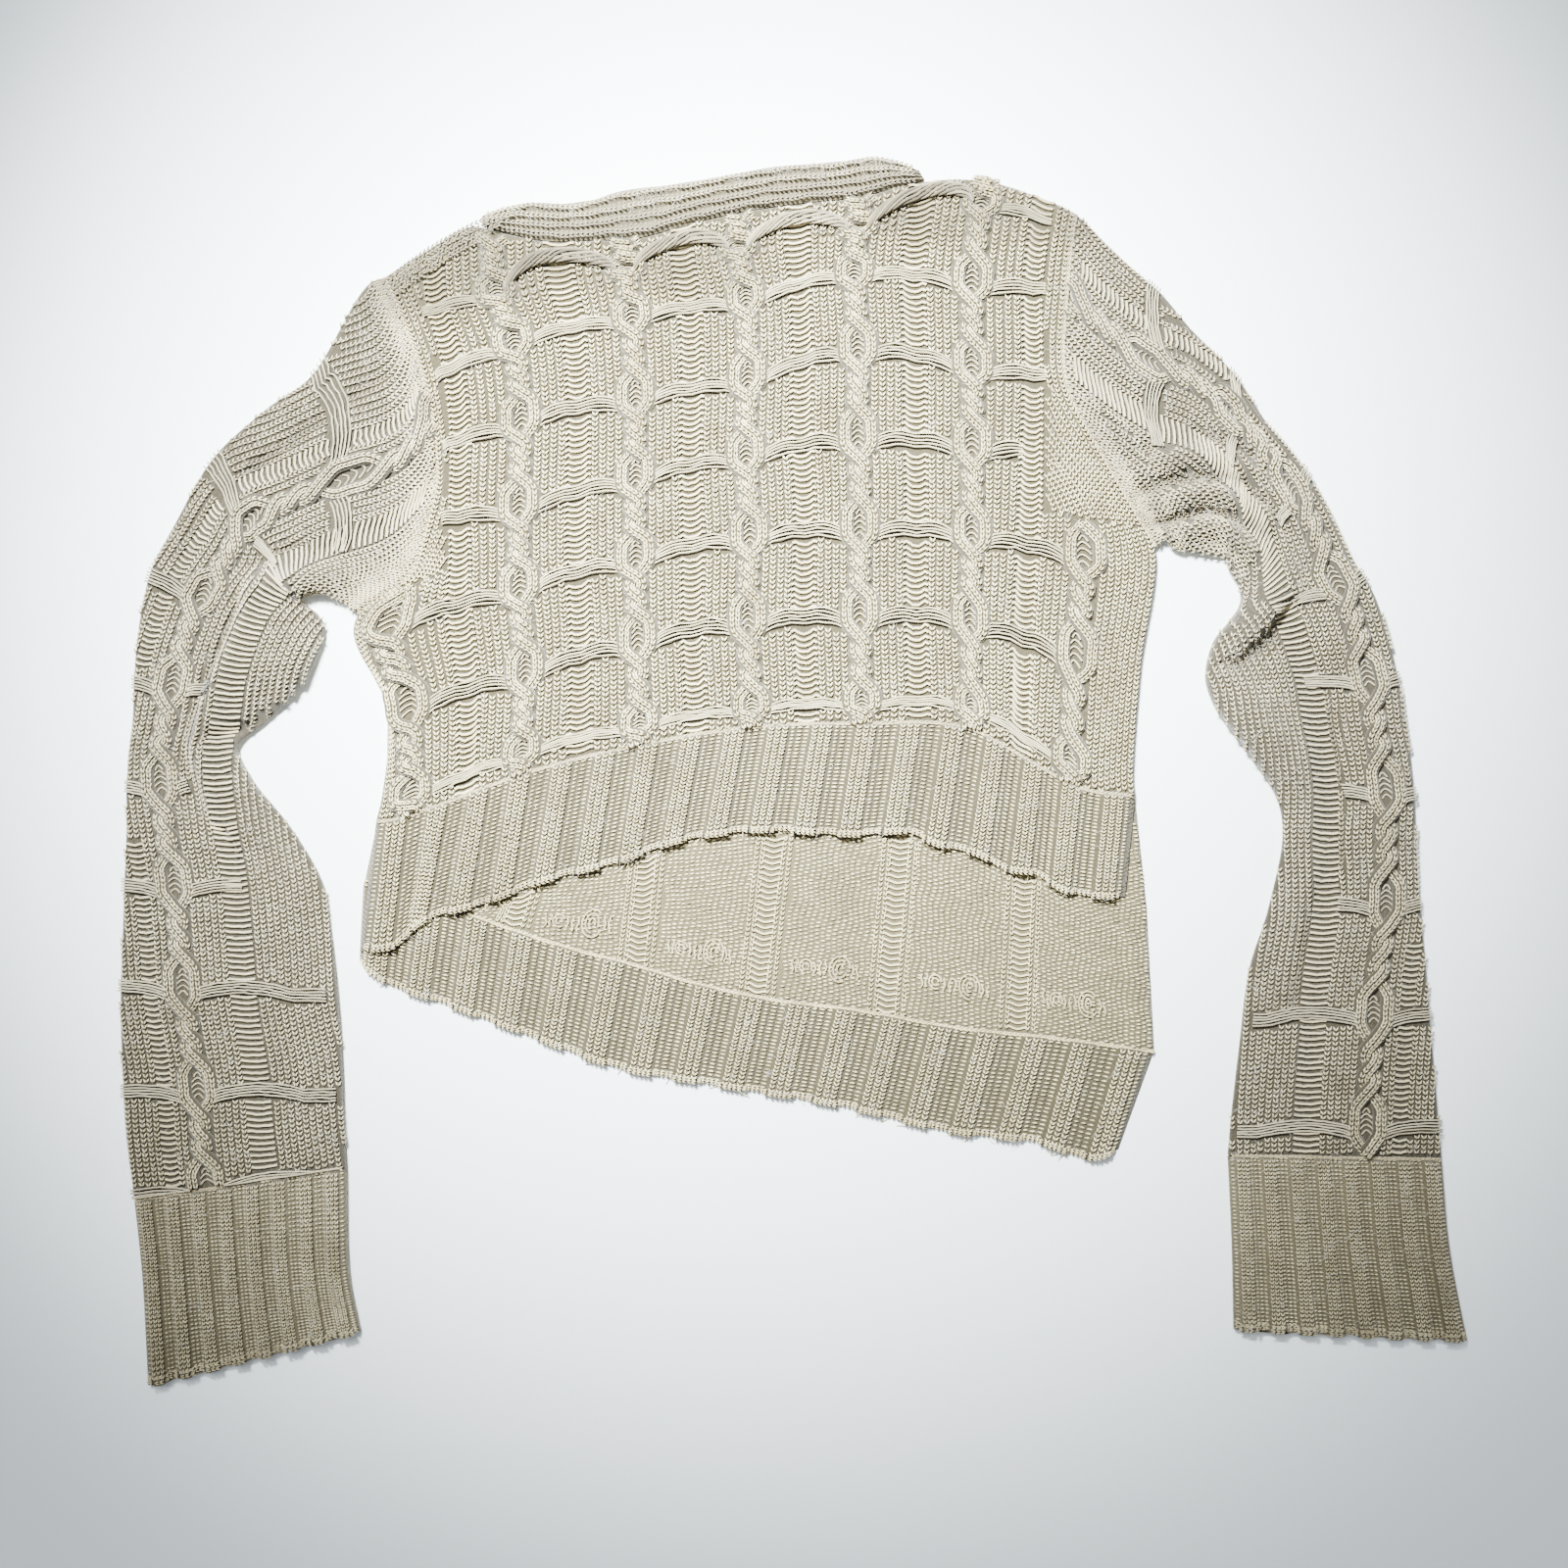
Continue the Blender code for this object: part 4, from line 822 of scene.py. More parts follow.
def back_cloth():
    """The back. Its rows run from -2 to -1 under the front, to 0 under its hem, 0 to 1 in sight."""
    marks = [entry.column for entry in INSIDE_COLUMNS]
    columns = np.linspace(marks[0], marks[-1], 641)
    upper_x = np.interp(columns, marks, [entry.x_upper for entry in INSIDE_COLUMNS])
    lower_x = np.interp(columns, marks, [entry.x_lower for entry in INSIDE_COLUMNS])
    fine = np.linspace(*FRONT_EDGES, FINE_COUNT)
    level_row = front_points((float(LAST_ROW),), fine)[0]
    share = (upper_x - upper_x[0]) / (upper_x[-1] - upper_x[0])
    body_x = level_row[0, 0] + share * (level_row[-1, 0] - level_row[0, 0])
    body_columns = np.interp(body_x, level_row[:, 0], fine)
    body = front_points(np.linspace(0.0, LAST_ROW, 71), body_columns)
    seam_y = edge_height(BACK_HEM_SEAM, lower_x)
    clear_y = np.maximum(edge_height(FRONT_HEM_EDGE, upper_x) - CLEAR_OF_HEM, seam_y + 3.0)
    clear = np.stack([upper_x, clear_y], axis=1)
    seam = np.stack([lower_x, seam_y], axis=1)
    hidden = [body[-1] + (clear - body[-1]) * share for share in np.linspace(0.1, 0.9, 9)]
    depths = np.linspace(0.0, 1.0, 61)
    shown = [clear + (seam - clear) * depth for depth in depths]
    places = np.concatenate([body, np.stack(hidden), np.stack(shown)])
    rows = np.concatenate([np.linspace(-2.0, -1.0, 71), np.linspace(-0.9, -0.1, 9), depths])
    tops = np.full(places.shape[:2], BACK_TOP)
    lie = np.clip(rows * 8.0, 0.0, 1.0)[:, None]
    beside = np.abs(columns - np.round(columns))[None] * INSIDE_PITCH
    held = ((columns > 0.5) & (columns < 4.5))[None]
    swell = 0.35 * np.abs(np.sin(columns * np.pi))[None]
    tops += lie * (-0.9 * bump(beside, 0.0, 6.5) * held + swell)
    for knot in INSIDE_KNOTS:
        across = (columns - knot.column)[None] / 0.17
        along = (rows - knot.depth)[:, None] / 0.22
        tops += 1.1 * np.exp(-across ** 2 - along ** 2)
    roll = bump(columns, SIDE_ROLL_AT, 0.1)[None] * np.clip(rows * 5.0, 0.0, 1.0)[:, None]
    tops += SIDE_ROLL_HEIGHT * roll
    tops += soft_waves(places, 0.25)
    tops -= edge_rounding(places, ("left", "right", "bottom", "top"), BACK_EDGE_DROP)
    return Cloth(rows, columns, places, np.maximum(tops, BACK_LOWEST))


def tube_fall(across_mm, width):
    """How far a flattened tube's wall falls beside its two edges, from its top to its middle."""
    away = np.minimum(across_mm, width - across_mm)
    share = np.clip(1.0 - away / (TUBE_ROUNDING + 1.2), 0.0, 1.0)
    return 1.0 - np.sqrt(np.clip(1.0 - share ** 2, 0.0, 1.0))


def tube_cloth(rows, shares, places, tops, width):
    """A tube's upper wall, falling to the tube's middle at both edges."""
    tops = np.maximum(tops, SLOT[1] + THINNEST)
    fall = tube_fall(shares[None] * width, width)
    return Cloth(rows, shares, places, tops + (TUBE_MIDDLE - tops) * fall)


def sleeve_cloth(shape):
    rows = np.append(np.arange(0.0, shape.length, 2.0), shape.length - SEAM_GAP)
    shares = np.linspace(0.0, 1.0, 241)
    places = shape.place(rows, shares)
    places[0] = off_seam(places[0], shape.side)
    width, cable = shape.span(rows)
    off = (shares[None] - cable[:, None]) * width[:, None]
    marks = np.array([eye.along for eye in shape.eyes], float)
    nearest = np.argmin(np.abs(rows[:, None] - marks[None]), axis=1)
    height = sum(amount * bump(off, middle, half) for amount, middle, half in SLEEVE_RELIEF)
    height -= SLEEVE_EYE_DEPTH * eye_hollow(off, (rows - marks[nearest])[:, None])
    tops = TUBE_TOP - UNDER_STITCHES + height + FOLD_RAISE * fold_relief(places, shape.folds)
    tops += soft_waves(places, 0.5)
    tops = tops - 1.2 * smooth_step(6.0, 0.0, rows)[:, None]
    tops = tops - 1.0 * smooth_step(4.0, 0.0, rows[-1] - rows)[:, None]
    return tube_cloth(rows, shares, places, tops, width[:, None])


def cuff_cloth(shape):
    rows, shares = np.linspace(SEAM_GAP / 2, shape.length, 81), np.linspace(0.0, 1.0, 361)
    places = shape.place(rows, shares)
    raised = rib_profile(shares * CUFF_RIBS)
    down = places[-1] - places[-2]
    down /= np.linalg.norm(down, axis=1)[:, None]
    reach = smooth_step(0.85, 1.0, (rows - rows[0]) / (rows[-1] - rows[0]))
    places += down[None] * (SCALLOP * raised)[None, :, None] * reach[:, None, None]
    tops = TUBE_TOP - UNDER_STITCHES + RIB_RISE * raised[None] - 0.4 * (1 - raised[None])
    tops = tops + soft_waves(places, 0.4)
    tops = tops - 0.8 * smooth_step(5.0, 0.0, rows - rows[0])[:, None]
    tops = tops - 1.6 * smooth_step(3.0, 0.0, rows[-1] - rows)[:, None] ** 2
    return tube_cloth(rows, shares, places, tops, shape.span(rows)[0][:, None])


def neckband_cloth():
    rows, shares = np.linspace(0.0, 1.0, 61), np.linspace(0.0, 1.0, 241)
    upper = even_curve(NECKBAND_TOP, shares)
    across = np.linspace(NECKBAND_FROM_X, NECKBAND_TO_X, FINE_COUNT)
    edge = np.stack([across, edge_height(FRONT_TOP_EDGE, across) + NECK_GAP], axis=1)
    lower = along_row(edge, shares)
    places = upper + (lower - upper) * rows[:, None, None]
    raised = rib_profile(rows * NECK_RIBS, 0.2, 0.14)[:, None]
    tops = TUBE_TOP - UNDER_STITCHES + NECK_RIB_RISE * raised - 0.5 * (1 - raised)
    tops = tops + soft_waves(places, 0.3)
    width = np.linalg.norm(lower - upper, axis=1)[None]
    fall = tube_fall(rows[:, None] * width, width)
    ends = smooth_step(0.012, 0.0, np.minimum(shares, 1.0 - shares))[None]
    tops = tops + (TUBE_MIDDLE - tops) * np.maximum(fall, 0.5 * ends)
    return Cloth(rows, shares, places, tops)


# Collectors of stitches and yarn lengths

def patches(points):
    """Slow changes of tone over the cloth, from -1 to 1, a few stitches across."""
    x, y = points[:, 0], points[:, 1]
    first = np.sin(x / 3.7 + 1.3 * np.sin(y / 6.1)) * np.sin(y / 4.9 + 1.7 * np.sin(x / 8.3))
    second = np.sin(x / 7.9 + 2.1 * np.sin(y / 13.0)) * np.sin(y / 9.7 + 1.9 * np.sin(x / 17.0))
    third = np.sin(x / 15.0 + 1.7 * np.sin(y / 21.0)) * np.sin(y / 17.0 + 2.3 * np.sin(x / 29.0))
    return 0.5 * first + 0.7 * second + 0.5 * third


def shade(points):
    """Painted shade: a change of tone where the cloth is bunched at the shoulders."""
    tone = np.zeros(len(points))
    for spot in SHADES:
        away = np.hypot((points[:, 0] - spot.x) / spot.half_x, (points[:, 1] - spot.y) / spot.half_y)
        tone += spot.change * (1.0 - smooth_step(0.5, 1.0, away))
    return tone


class Stitches:
    """Places for stitches, with the direction of the wale, the way out, size and tone."""

    def __init__(self):
        self.parts = []

    def add(self, points, ways, outs, sizes, tone=0.0, jitter=0.05):
        count = len(points)
        if count == 0:
            return
        # Random patches of tone, and painted shade at the shoulders
        tone = tone + PATCH_TONE * patches(points) + shade(points)
        points = points + chance.normal(0.0, jitter, (count, 3))
        sizes = sizes * chance.normal(1.0, 0.05, (count, 3))
        tones = np.clip(0.5 + tone + chance.normal(0.0, 0.06, count), -0.3, 1.0)
        ways = ways + chance.normal(0.0, 0.03, (count, 3))
        self.parts.append(np.concatenate([points, ways, outs, sizes, tones[:, None]], axis=1))

    def on(self, spot, keep=None, lift=STITCH_LIFT, size=(1.0, 1.0, 1.0), tone=0.0, sideways=False):
        """Stitches on a cloth's spots, or on those to keep; size and tone may be arrays."""
        if keep is None:
            keep = np.ones(spot.row_step.shape, bool)
        sizes = [np.broadcast_to(part, keep.shape)[keep] for part in size]
        outs = spot.out[keep]
        ways = spot.side[keep] if sideways else -spot.down[keep]
        points = spot.point[keep] + outs * lift
        tones = np.broadcast_to(tone, keep.shape)[keep]
        self.add(points, ways, outs, np.stack(sizes, axis=1), tones)


class Yarns:
    """Lengths of yarn, each a row of points."""

    def __init__(self):
        self.points, self.edges, self.tones, self.thick = [], [], [], []
        self.count = 0

    def add(self, points, tone=0.0, thick=1.0):
        count = len(points)
        self.points.append(points)
        first = np.arange(self.count, self.count + count - 1)
        self.edges.append(np.stack([first, first + 1], axis=1))
        mean = np.clip(0.5 + tone + chance.normal(0.0, 0.1), 0.0, 1.0)
        # Painted shade at the shoulders
        self.tones.append(np.clip(mean + shade(points), -0.3, 1.0))
        self.thick.append(np.broadcast_to(thick, (count,)))
        self.count += count

    def on(self, spot, lift, tone=0.0, thick=1.0):
        """A length of yarn over a cloth's spots; lift may be an array."""
        lift = np.broadcast_to(lift, spot.row_step.shape)
        self.add(spot.point + spot.out * lift[:, None], tone, thick)


def in_frame(points):
    """From the tables' millimetres to the frame's metres."""
    return (np.asarray(points) - np.array([*TABLE_MIDDLE, 0.0])) * MM


# Nodes for shapes and materials

def feed(tree, socket, value):
    """Links an input to another node's output, or sets its value."""
    if isinstance(value, bpy.types.NodeSocket):
        tree.links.new(value, socket)
    else:
        socket.default_value = value


def add_node(tree, kind, inputs=None, **settings):
    """A node with its settings, and a value or link for each of its inputs that is named."""
    node = tree.nodes.new(kind)
    for name, value in settings.items():
        setattr(node, name, value)
    for name, value in (inputs or {}).items():
        feed(tree, node.inputs[name], value)
    return node


def maths(tree, operation, first, second=0.0):
    return add_node(tree, "ShaderNodeMath", {0: first, 1: second}, operation=operation).outputs[0]


def vector(tree, x, y, z):
    return add_node(tree, "ShaderNodeCombineXYZ", {"X": x, "Y": y, "Z": z}).outputs["Vector"]


def new_tree(name, inputs):
    """A tree of geometry nodes with named inputs, each (name, socket type, default)."""
    tree = bpy.data.node_groups.new(name, "GeometryNodeTree")
    tree.interface.new_socket(name="Geometry", in_out="INPUT", socket_type="NodeSocketGeometry")
    for label, kind, value in inputs:
        socket = tree.interface.new_socket(name=label, in_out="INPUT", socket_type=kind)
        if value is not None:
            socket.default_value = value
    tree.interface.new_socket(name="Geometry", in_out="OUTPUT", socket_type="NodeSocketGeometry")
    return tree


def named(tree, name, data_type):
    """An attribute of the points or lines that the tree is given."""
    node = add_node(tree, "GeometryNodeInputNamedAttribute", {"Name": name}, data_type=data_type)
    return node.outputs["Attribute"]


def store_rise(tree, geometry, axis, ends=0.0):
    """Keeps how far each point faces out, with a share for the yarn's ends, for painted side shade.
    """
    normal = add_node(tree, "GeometryNodeInputNormal").outputs["Normal"]
    split = add_node(tree, "ShaderNodeSeparateXYZ", {"Vector": normal}).outputs
    rise = split[axis]
    if ends:
        tip = maths(tree, "MULTIPLY", maths(tree, "ABSOLUTE", split["Z"]), ends)
        rise = maths(tree, "ADD", rise, tip)
    store = add_node(tree, "GeometryNodeStoreNamedAttribute",
                     {"Geometry": geometry, "Name": "rise", "Value": rise},
                     data_type="FLOAT", domain="POINT")
    return store.outputs["Geometry"]


def finish_tree(tree, geometry, given):
    """Real meshes, shaded smooth, with the yarn's material."""
    for kind in ("GeometryNodeRealizeInstances", "GeometryNodeSetShadeSmooth"):
        geometry = add_node(tree, kind, {"Geometry": geometry}).outputs["Geometry"]
    made = add_node(tree, "GeometryNodeSetMaterial",
                    {"Geometry": geometry, "Material": given.outputs["Yarn"]})
    add_node(tree, "NodeGroupOutput", {"Geometry": made.outputs["Geometry"]})


def stitch_tree(name, legs, length, width, height, lean, spread, tilt):
    """Stitches on points: a V of two legs, or one short bump, turned by the points' own axes."""
    tree = new_tree(name, (
        ("Leg length", "NodeSocketFloat", length * MM), ("Leg width", "NodeSocketFloat", width * MM),
        ("Leg height", "NodeSocketFloat", height * MM), ("Lean", "NodeSocketFloat", lean),
        ("Spread", "NodeSocketFloat", spread * MM), ("Tilt", "NodeSocketFloat", tilt),
        ("Yarn", "NodeSocketMaterial", None)))
    given = add_node(tree, "NodeGroupInput")
    sphere = add_node(tree, "GeometryNodeMeshUVSphere", {"Segments": 4, "Rings": 2, "Radius": 0.5})
    size = vector(tree, *[given.outputs["Leg " + side] for side in ("width", "height", "length")])
    leg_mesh = store_rise(tree, sphere.outputs["Mesh"], "Y", 0.6)
    upright = maths(tree, "ADD", given.outputs["Tilt"], float(np.pi / 2))
    join = add_node(tree, "GeometryNodeJoinGeometry")
    for sign in legs:
        lean_out = maths(tree, "MULTIPLY", given.outputs["Lean"], float(sign))
        aside = maths(tree, "MULTIPLY", given.outputs["Spread"], float(-sign))
        leg = add_node(tree, "GeometryNodeTransform", {
            "Geometry": leg_mesh, "Translation": vector(tree, aside, 0.0, 0.0),
            "Rotation": vector(tree, upright, 0.0, lean_out), "Scale": size})
        feed(tree, join.inputs["Geometry"], leg.outputs["Geometry"])
    turn = add_node(tree, "FunctionNodeAxesToRotation", {
        "Primary Axis": named(tree, "out", "FLOAT_VECTOR"),
        "Secondary Axis": named(tree, "way", "FLOAT_VECTOR")}, primary_axis="Z", secondary_axis="Y")
    place = add_node(tree, "GeometryNodeInstanceOnPoints", {
        "Points": given.outputs["Geometry"], "Instance": join.outputs["Geometry"],
        "Rotation": turn.outputs["Rotation"], "Scale": named(tree, "size", "FLOAT_VECTOR")})
    finish_tree(tree, place.outputs["Instances"], given)
    return tree


def yarn_tree(name, sides, radius):
    """Yarn of an even section swept along lines, thinned or thickened by their own attribute."""
    tree = new_tree(name, (
        ("Sides", "NodeSocketInt", sides), ("Radius", "NodeSocketFloat", radius * MM),
        ("Yarn", "NodeSocketMaterial", None)))
    given = add_node(tree, "NodeGroupInput")
    curve = add_node(tree, "GeometryNodeMeshToCurve", {"Mesh": given.outputs["Geometry"]})
    ring = add_node(tree, "GeometryNodeCurvePrimitiveCircle", {
        "Resolution": given.outputs["Sides"], "Radius": given.outputs["Radius"]})
    sweep = add_node(tree, "GeometryNodeCurveToMesh", {
        "Curve": curve.outputs["Curve"], "Profile Curve": ring.outputs["Curve"],
        "Scale": named(tree, "thick", "FLOAT")})
    finish_tree(tree, store_rise(tree, sweep.outputs["Mesh"], "Z"), given)
    return tree


# Pieces

def link_object(name, data):
    """A new object in the scene."""
    obj = bpy.data.objects.new(name, data)
    bpy.context.scene.collection.objects.link(obj)
    return obj


def hand_over(obj):
    """Hands a piece of the garment to the frame, attached to its root body."""
    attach(obj, "root")
    return obj


def set_attribute(mesh, name, kind, values):
    layer = mesh.attributes.new(name, kind, "POINT")
    field = "vector" if kind == "FLOAT_VECTOR" else "value"
    layer.data.foreach_set(field, np.asarray(values, np.float32).ravel())


def made_by_nodes(name, points, edges, attributes, tree, material):
    """Points or lines with their attributes, turned into real stitches or yarn by a tree."""
    rough = bpy.data.meshes.new(name)
    rough.from_pydata(in_frame(points).tolist(), edges, [])
    for label, (kind, values) in attributes.items():
        set_attribute(rough, label, kind, values)
    obj = link_object(name, rough)
    modifier = obj.modifiers.new("stitches", "NODES")
    modifier.node_group = tree
    for item in tree.interface.items_tree:
        if item.item_type == "SOCKET" and item.in_out == "INPUT" and item.name == "Yarn":
            modifier[item.identifier] = material
    depsgraph = bpy.context.evaluated_depsgraph_get()
    made = bpy.data.meshes.new_from_object(obj.evaluated_get(depsgraph), depsgraph=depsgraph)
    obj.modifiers.clear()
    obj.data = made
    bpy.data.meshes.remove(rough)
    made.name = name
    return hand_over(obj)


def stitch_piece(name, stitches, tree, material):
    data = np.concatenate(stitches.parts)
    attributes = {"way": ("FLOAT_VECTOR", data[:, 3:6]), "out": ("FLOAT_VECTOR", data[:, 6:9]),
                  "size": ("FLOAT_VECTOR", data[:, 9:12]), "tone": ("FLOAT", data[:, 12])}
    return made_by_nodes(name, data[:, 0:3], [], attributes, tree, material)


def yarn_piece(name, yarns, tree, material):
    attributes = {"thick": ("FLOAT", np.concatenate(yarns.thick)),
                  "tone": ("FLOAT", np.concatenate(yarns.tones))}
    edges = np.concatenate(yarns.edges).tolist()
    return made_by_nodes(name, np.concatenate(yarns.points), edges, attributes, tree, material)


def surface_piece(name, points, faces, uvs, bare, material):
    """A mesh from points, faces with a uv for each corner, and how bare each point is."""
    mesh = bpy.data.meshes.new(name)
    mesh.from_pydata(in_frame(points).tolist(), [], faces)
    layer = mesh.uv_layers.new(name="knit")
    layer.data.foreach_set("uv", np.asarray(uvs, np.float32).ravel())
    set_attribute(mesh, "bare", "FLOAT", bare)
    set_attribute(mesh, "tone", "FLOAT", np.full(len(points), 0.5))
    mesh.polygons.foreach_set("use_smooth", [len(face) < 5 for face in faces])
    mesh.materials.append(material)
    mesh.update()
    return hand_over(link_object(name, mesh))


def add_face(faces, uvs, face, spots, turned):
    """A face and the uvs of its corners, turned round where the grid's order calls for it."""
    faces.append(face[::-1] if turned else face)
    uvs += spots[::-1] if turned else spots


def grid_faces(grid, first=0, turned=False, closed=False):
    """Faces and uvs of a grid, and its u and v; the rows of a closed one run back to their start."""
    height, width = grid.shape[:2]
    around = np.concatenate([grid, grid[:, :1]], axis=1) if closed else grid
    u, v = grid_runs(around, 1) / WALE, grid_runs(around, 0) / COURSE
    faces, uvs = [], []
    for j in range(height - 1):
        for i in range(around.shape[1] - 1):
            corners = [(j, i), (j + 1, i), (j + 1, i + 1), (j, i + 1)]
            face = [first + row * width + column % width for row, column in corners]
            add_face(faces, uvs, face, [(u[spot], v[spot]) for spot in corners], turned)
    return faces, uvs, u, v


def grid_turns(top):
    """Whether a grid's rows and columns run so that its faces have to be turned round."""
    down = top[1, 0] - top[0, 0]
    side = top[0, 1] - top[0, 0]
    return down[0] * side[1] - down[1] * side[0] < 0


def plate_piece(name, cloth, rows, columns, floor, material, node, bare=0.0):
    """A laid panel: its upper face, a thin edge and one flat underside."""
    top = cloth.read(rows[:, None], columns[None]).point
    height, width = top.shape[:2]
    turned = grid_turns(top)
    faces, uvs, u, v = grid_faces(top, turned=turned)
    rim = [(0, i) for i in range(width)] + [(j, width - 1) for j in range(1, height)]
    rim += [(height - 1, i) for i in range(width - 2, -1, -1)]
    rim += [(j, 0) for j in range(height - 2, 0, -1)]
    foot = np.array([[*top[corner][:2], floor] for corner in rim])
    base, count = height * width, len(rim)
    for k, here in enumerate(rim):
        after = (k + 1) % count
        edge = (here, rim[after])
        face = [row * width + column for row, column in edge] + [base + after, base + k]
        spots = [(u[corner], v[corner]) for corner in edge]
        spots += [(across, down + 1.0) for across, down in spots[::-1]]
        add_face(faces, uvs, face, spots, turned)
    under = [base + k for k in range(count)]
    add_face(faces, uvs, under, [(u[corner], v[corner]) for corner in rim], turned)
    points = np.concatenate([top.reshape(-1, 3), foot])
    bare_points = np.concatenate([np.full(base, bare), np.full(count, 1.0)])
    obj = surface_piece(name, points, faces, uvs, bare_points, material)
    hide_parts(node)
    return obj


def tube_ring(row):
    """A tube's wall all round, from its upper half: along it, and back along a flat underside."""
    flat = row[:, :2]
    length = run_lengths(flat)[-1]
    ends = np.array([0.35, 1.0, 2.2]) * TUBE_ROUNDING / length
    middle = np.linspace(ends[-1], 1 - ends[-1], 14)[1:-1]
    shares = np.concatenate([ends, middle, 1 - ends[::-1]])
    depth = np.minimum(shares, 1 - shares) * length / TUBE_ROUNDING
    z = TUBE_MIDDLE - TUBE_MIDDLE * np.sqrt(1 - np.clip(1 - depth, 0, 1) ** 2)
    bottom = np.concatenate([along_row(flat, shares), z[:, None]], axis=1)[::-1]
    return np.concatenate([row, bottom])


def slot_ring(row):
    """The slot inside a tube, as a ring of points."""
    low, high = SLOT
    flat = row[:, :2]
    edge = (TUBE_ROUNDING + WALL) / run_lengths(flat)[-1]
    line = along_row(flat, edge + (1 - 2 * edge) * np.linspace(0.0, 1.0, 13))
    ring = [(*line[0], (low + high) / 2)] + [(*point, high) for point in line[1:-1]]
    return ring + [(*line[-1], (low + high) / 2)] + [(*point, low) for point in line[1:-1][::-1]]


def tube_piece(name, cloth, rows, columns, material, node, bare=0.0):
    """A flattened tube: outer wall all round, an inner slot, and closed rims at both ends."""
    top = cloth.read(rows[:, None], columns[None]).point
    rings = np.array([tube_ring(row) for row in top])
    slots = np.array([slot_ring(row) for row in [*top[::SLOT_STEP], top[-1]]])
    turned = grid_turns(top)
    outer_count, inner_count = rings.shape[1], slots.shape[1]
    inner_first = len(rings) * outer_count
    faces, uvs, _, _ = grid_faces(rings, 0, turned, True)
    inner_faces, inner_uvs, _, _ = grid_faces(slots, inner_first, not turned, True)
    faces, uvs = faces + inner_faces, uvs + inner_uvs
    points = np.concatenate([rings.reshape(-1, 3), slots.reshape(-1, 3)])
    shown = np.full(rings.shape[:2], 1.0)
    shown[:, :len(columns)] = bare
    bares = np.concatenate([shown.ravel(), np.full(len(points) - inner_first, 1.0)])
    last_inner = inner_first + (len(slots) - 1) * inner_count
    for outer, inner, flip in ((0, inner_first, turned),
                               (inner_first - outer_count, last_inner, not turned)):
        close_end(faces, uvs, points, (outer, outer_count), (inner, inner_count), flip)
    obj = surface_piece(name, points, faces, uvs, bares, material)
    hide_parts(node)
    return obj


def close_end(faces, uvs, points, outer_ring, inner_ring, turned):
    """Joins an outer and an inner ring of a tube's end, each (first, count), with triangles."""
    shares = []
    for first, count in (outer_ring, inner_ring):
        ring = points[first:first + count, :2]
        lengths = run_lengths(np.concatenate([ring, ring[:1]]))
        shares.append(lengths / lengths[-1])
    (outer, outer_count), (inner, inner_count) = outer_ring, inner_ring
    a, b = 0, 0
    while a < outer_count or b < inner_count:
        face = [outer + a % outer_count, inner + b % inner_count]
        if b >= inner_count or (a < outer_count and shares[0][a + 1] <= shares[1][b + 1]):
            a += 1
            face.append(outer + a % outer_count)
        else:
            b += 1
            face.append(inner + b % inner_count)
        faces.append(face[::-1] if turned else face)
        uvs += [(0.0, 0.0), (0.5, 0.5), (1.0, 0.0)]


def core_piece(name, paths, material):
    """Bodies of cable strands: a low arched section along each path of (points, sides, outs)."""
    across, out = STRAND_SECTION[None, :, :1], STRAND_SECTION[None, :, 1:]
    points, faces, first = [], [], 0
    for path, sides, outs in paths:
        grid = path[:, None] + sides[:, None] * across + outs[:, None] * out
        points.append(grid.reshape(-1, 3))
        faces += grid_faces(grid, first)[0]
        first += len(points[-1])
    flat_uvs = np.zeros((4 * len(faces), 2))
    # Bare 0: the cloth's material paints the cores dark, as shade between the strands' stitches
    return surface_piece(name, np.concatenate(points), faces, flat_uvs, np.zeros(first), material)


# Materials

def noise(tree, coordinates, scale, detail, roughness=0.6):
    inputs = {"Vector": coordinates, "Scale": scale, "Detail": detail, "Roughness": roughness}
    return add_node(tree, "ShaderNodeTexNoise", inputs).outputs["Fac"]


def ranged(tree, value, low, high, to_low, to_high):
    """A value carried over from one range to another."""
    inputs = {"Value": value, "From Min": low, "From Max": high, "To Min": to_low,
              "To Max": to_high}
    return add_node(tree, "ShaderNodeMapRange", inputs).outputs["Result"]


def mix_colour(tree, share, first, second):
    node = add_node(tree, "ShaderNodeMix", data_type="RGBA")
    colours = [socket for socket in node.inputs if socket.type == "RGBA"]
    factor = [socket for socket in node.inputs if socket.type == "VALUE"][0]
    for socket, value in ((factor, share), (colours[0], first), (colours[1], second)):
        feed(tree, socket, (*value, 1.0) if isinstance(value, tuple) else value)
    return [socket for socket in node.outputs if socket.type == "RGBA"][0]


def new_material(name, settings):
    material = bpy.data.materials.new(name)
    material.use_nodes = True
    tree = material.node_tree
    shader = tree.nodes["Principled BSDF"]
    for label, value in settings.items():
        shader.inputs[label].default_value = value
    return material, tree, shader


def attribute(tree, name):
    return add_node(tree, "ShaderNodeAttribute", attribute_name=name).outputs["Fac"]


def add_bump(tree, shader, height, distance):
    node = add_node(tree, "ShaderNodeBump", {"Strength": 0.6, "Distance": distance, "Height": height})
    feed(tree, shader.inputs["Normal"], node.outputs["Normal"])


def shares_of(colour, share):
    return tuple(share * part for part in colour)


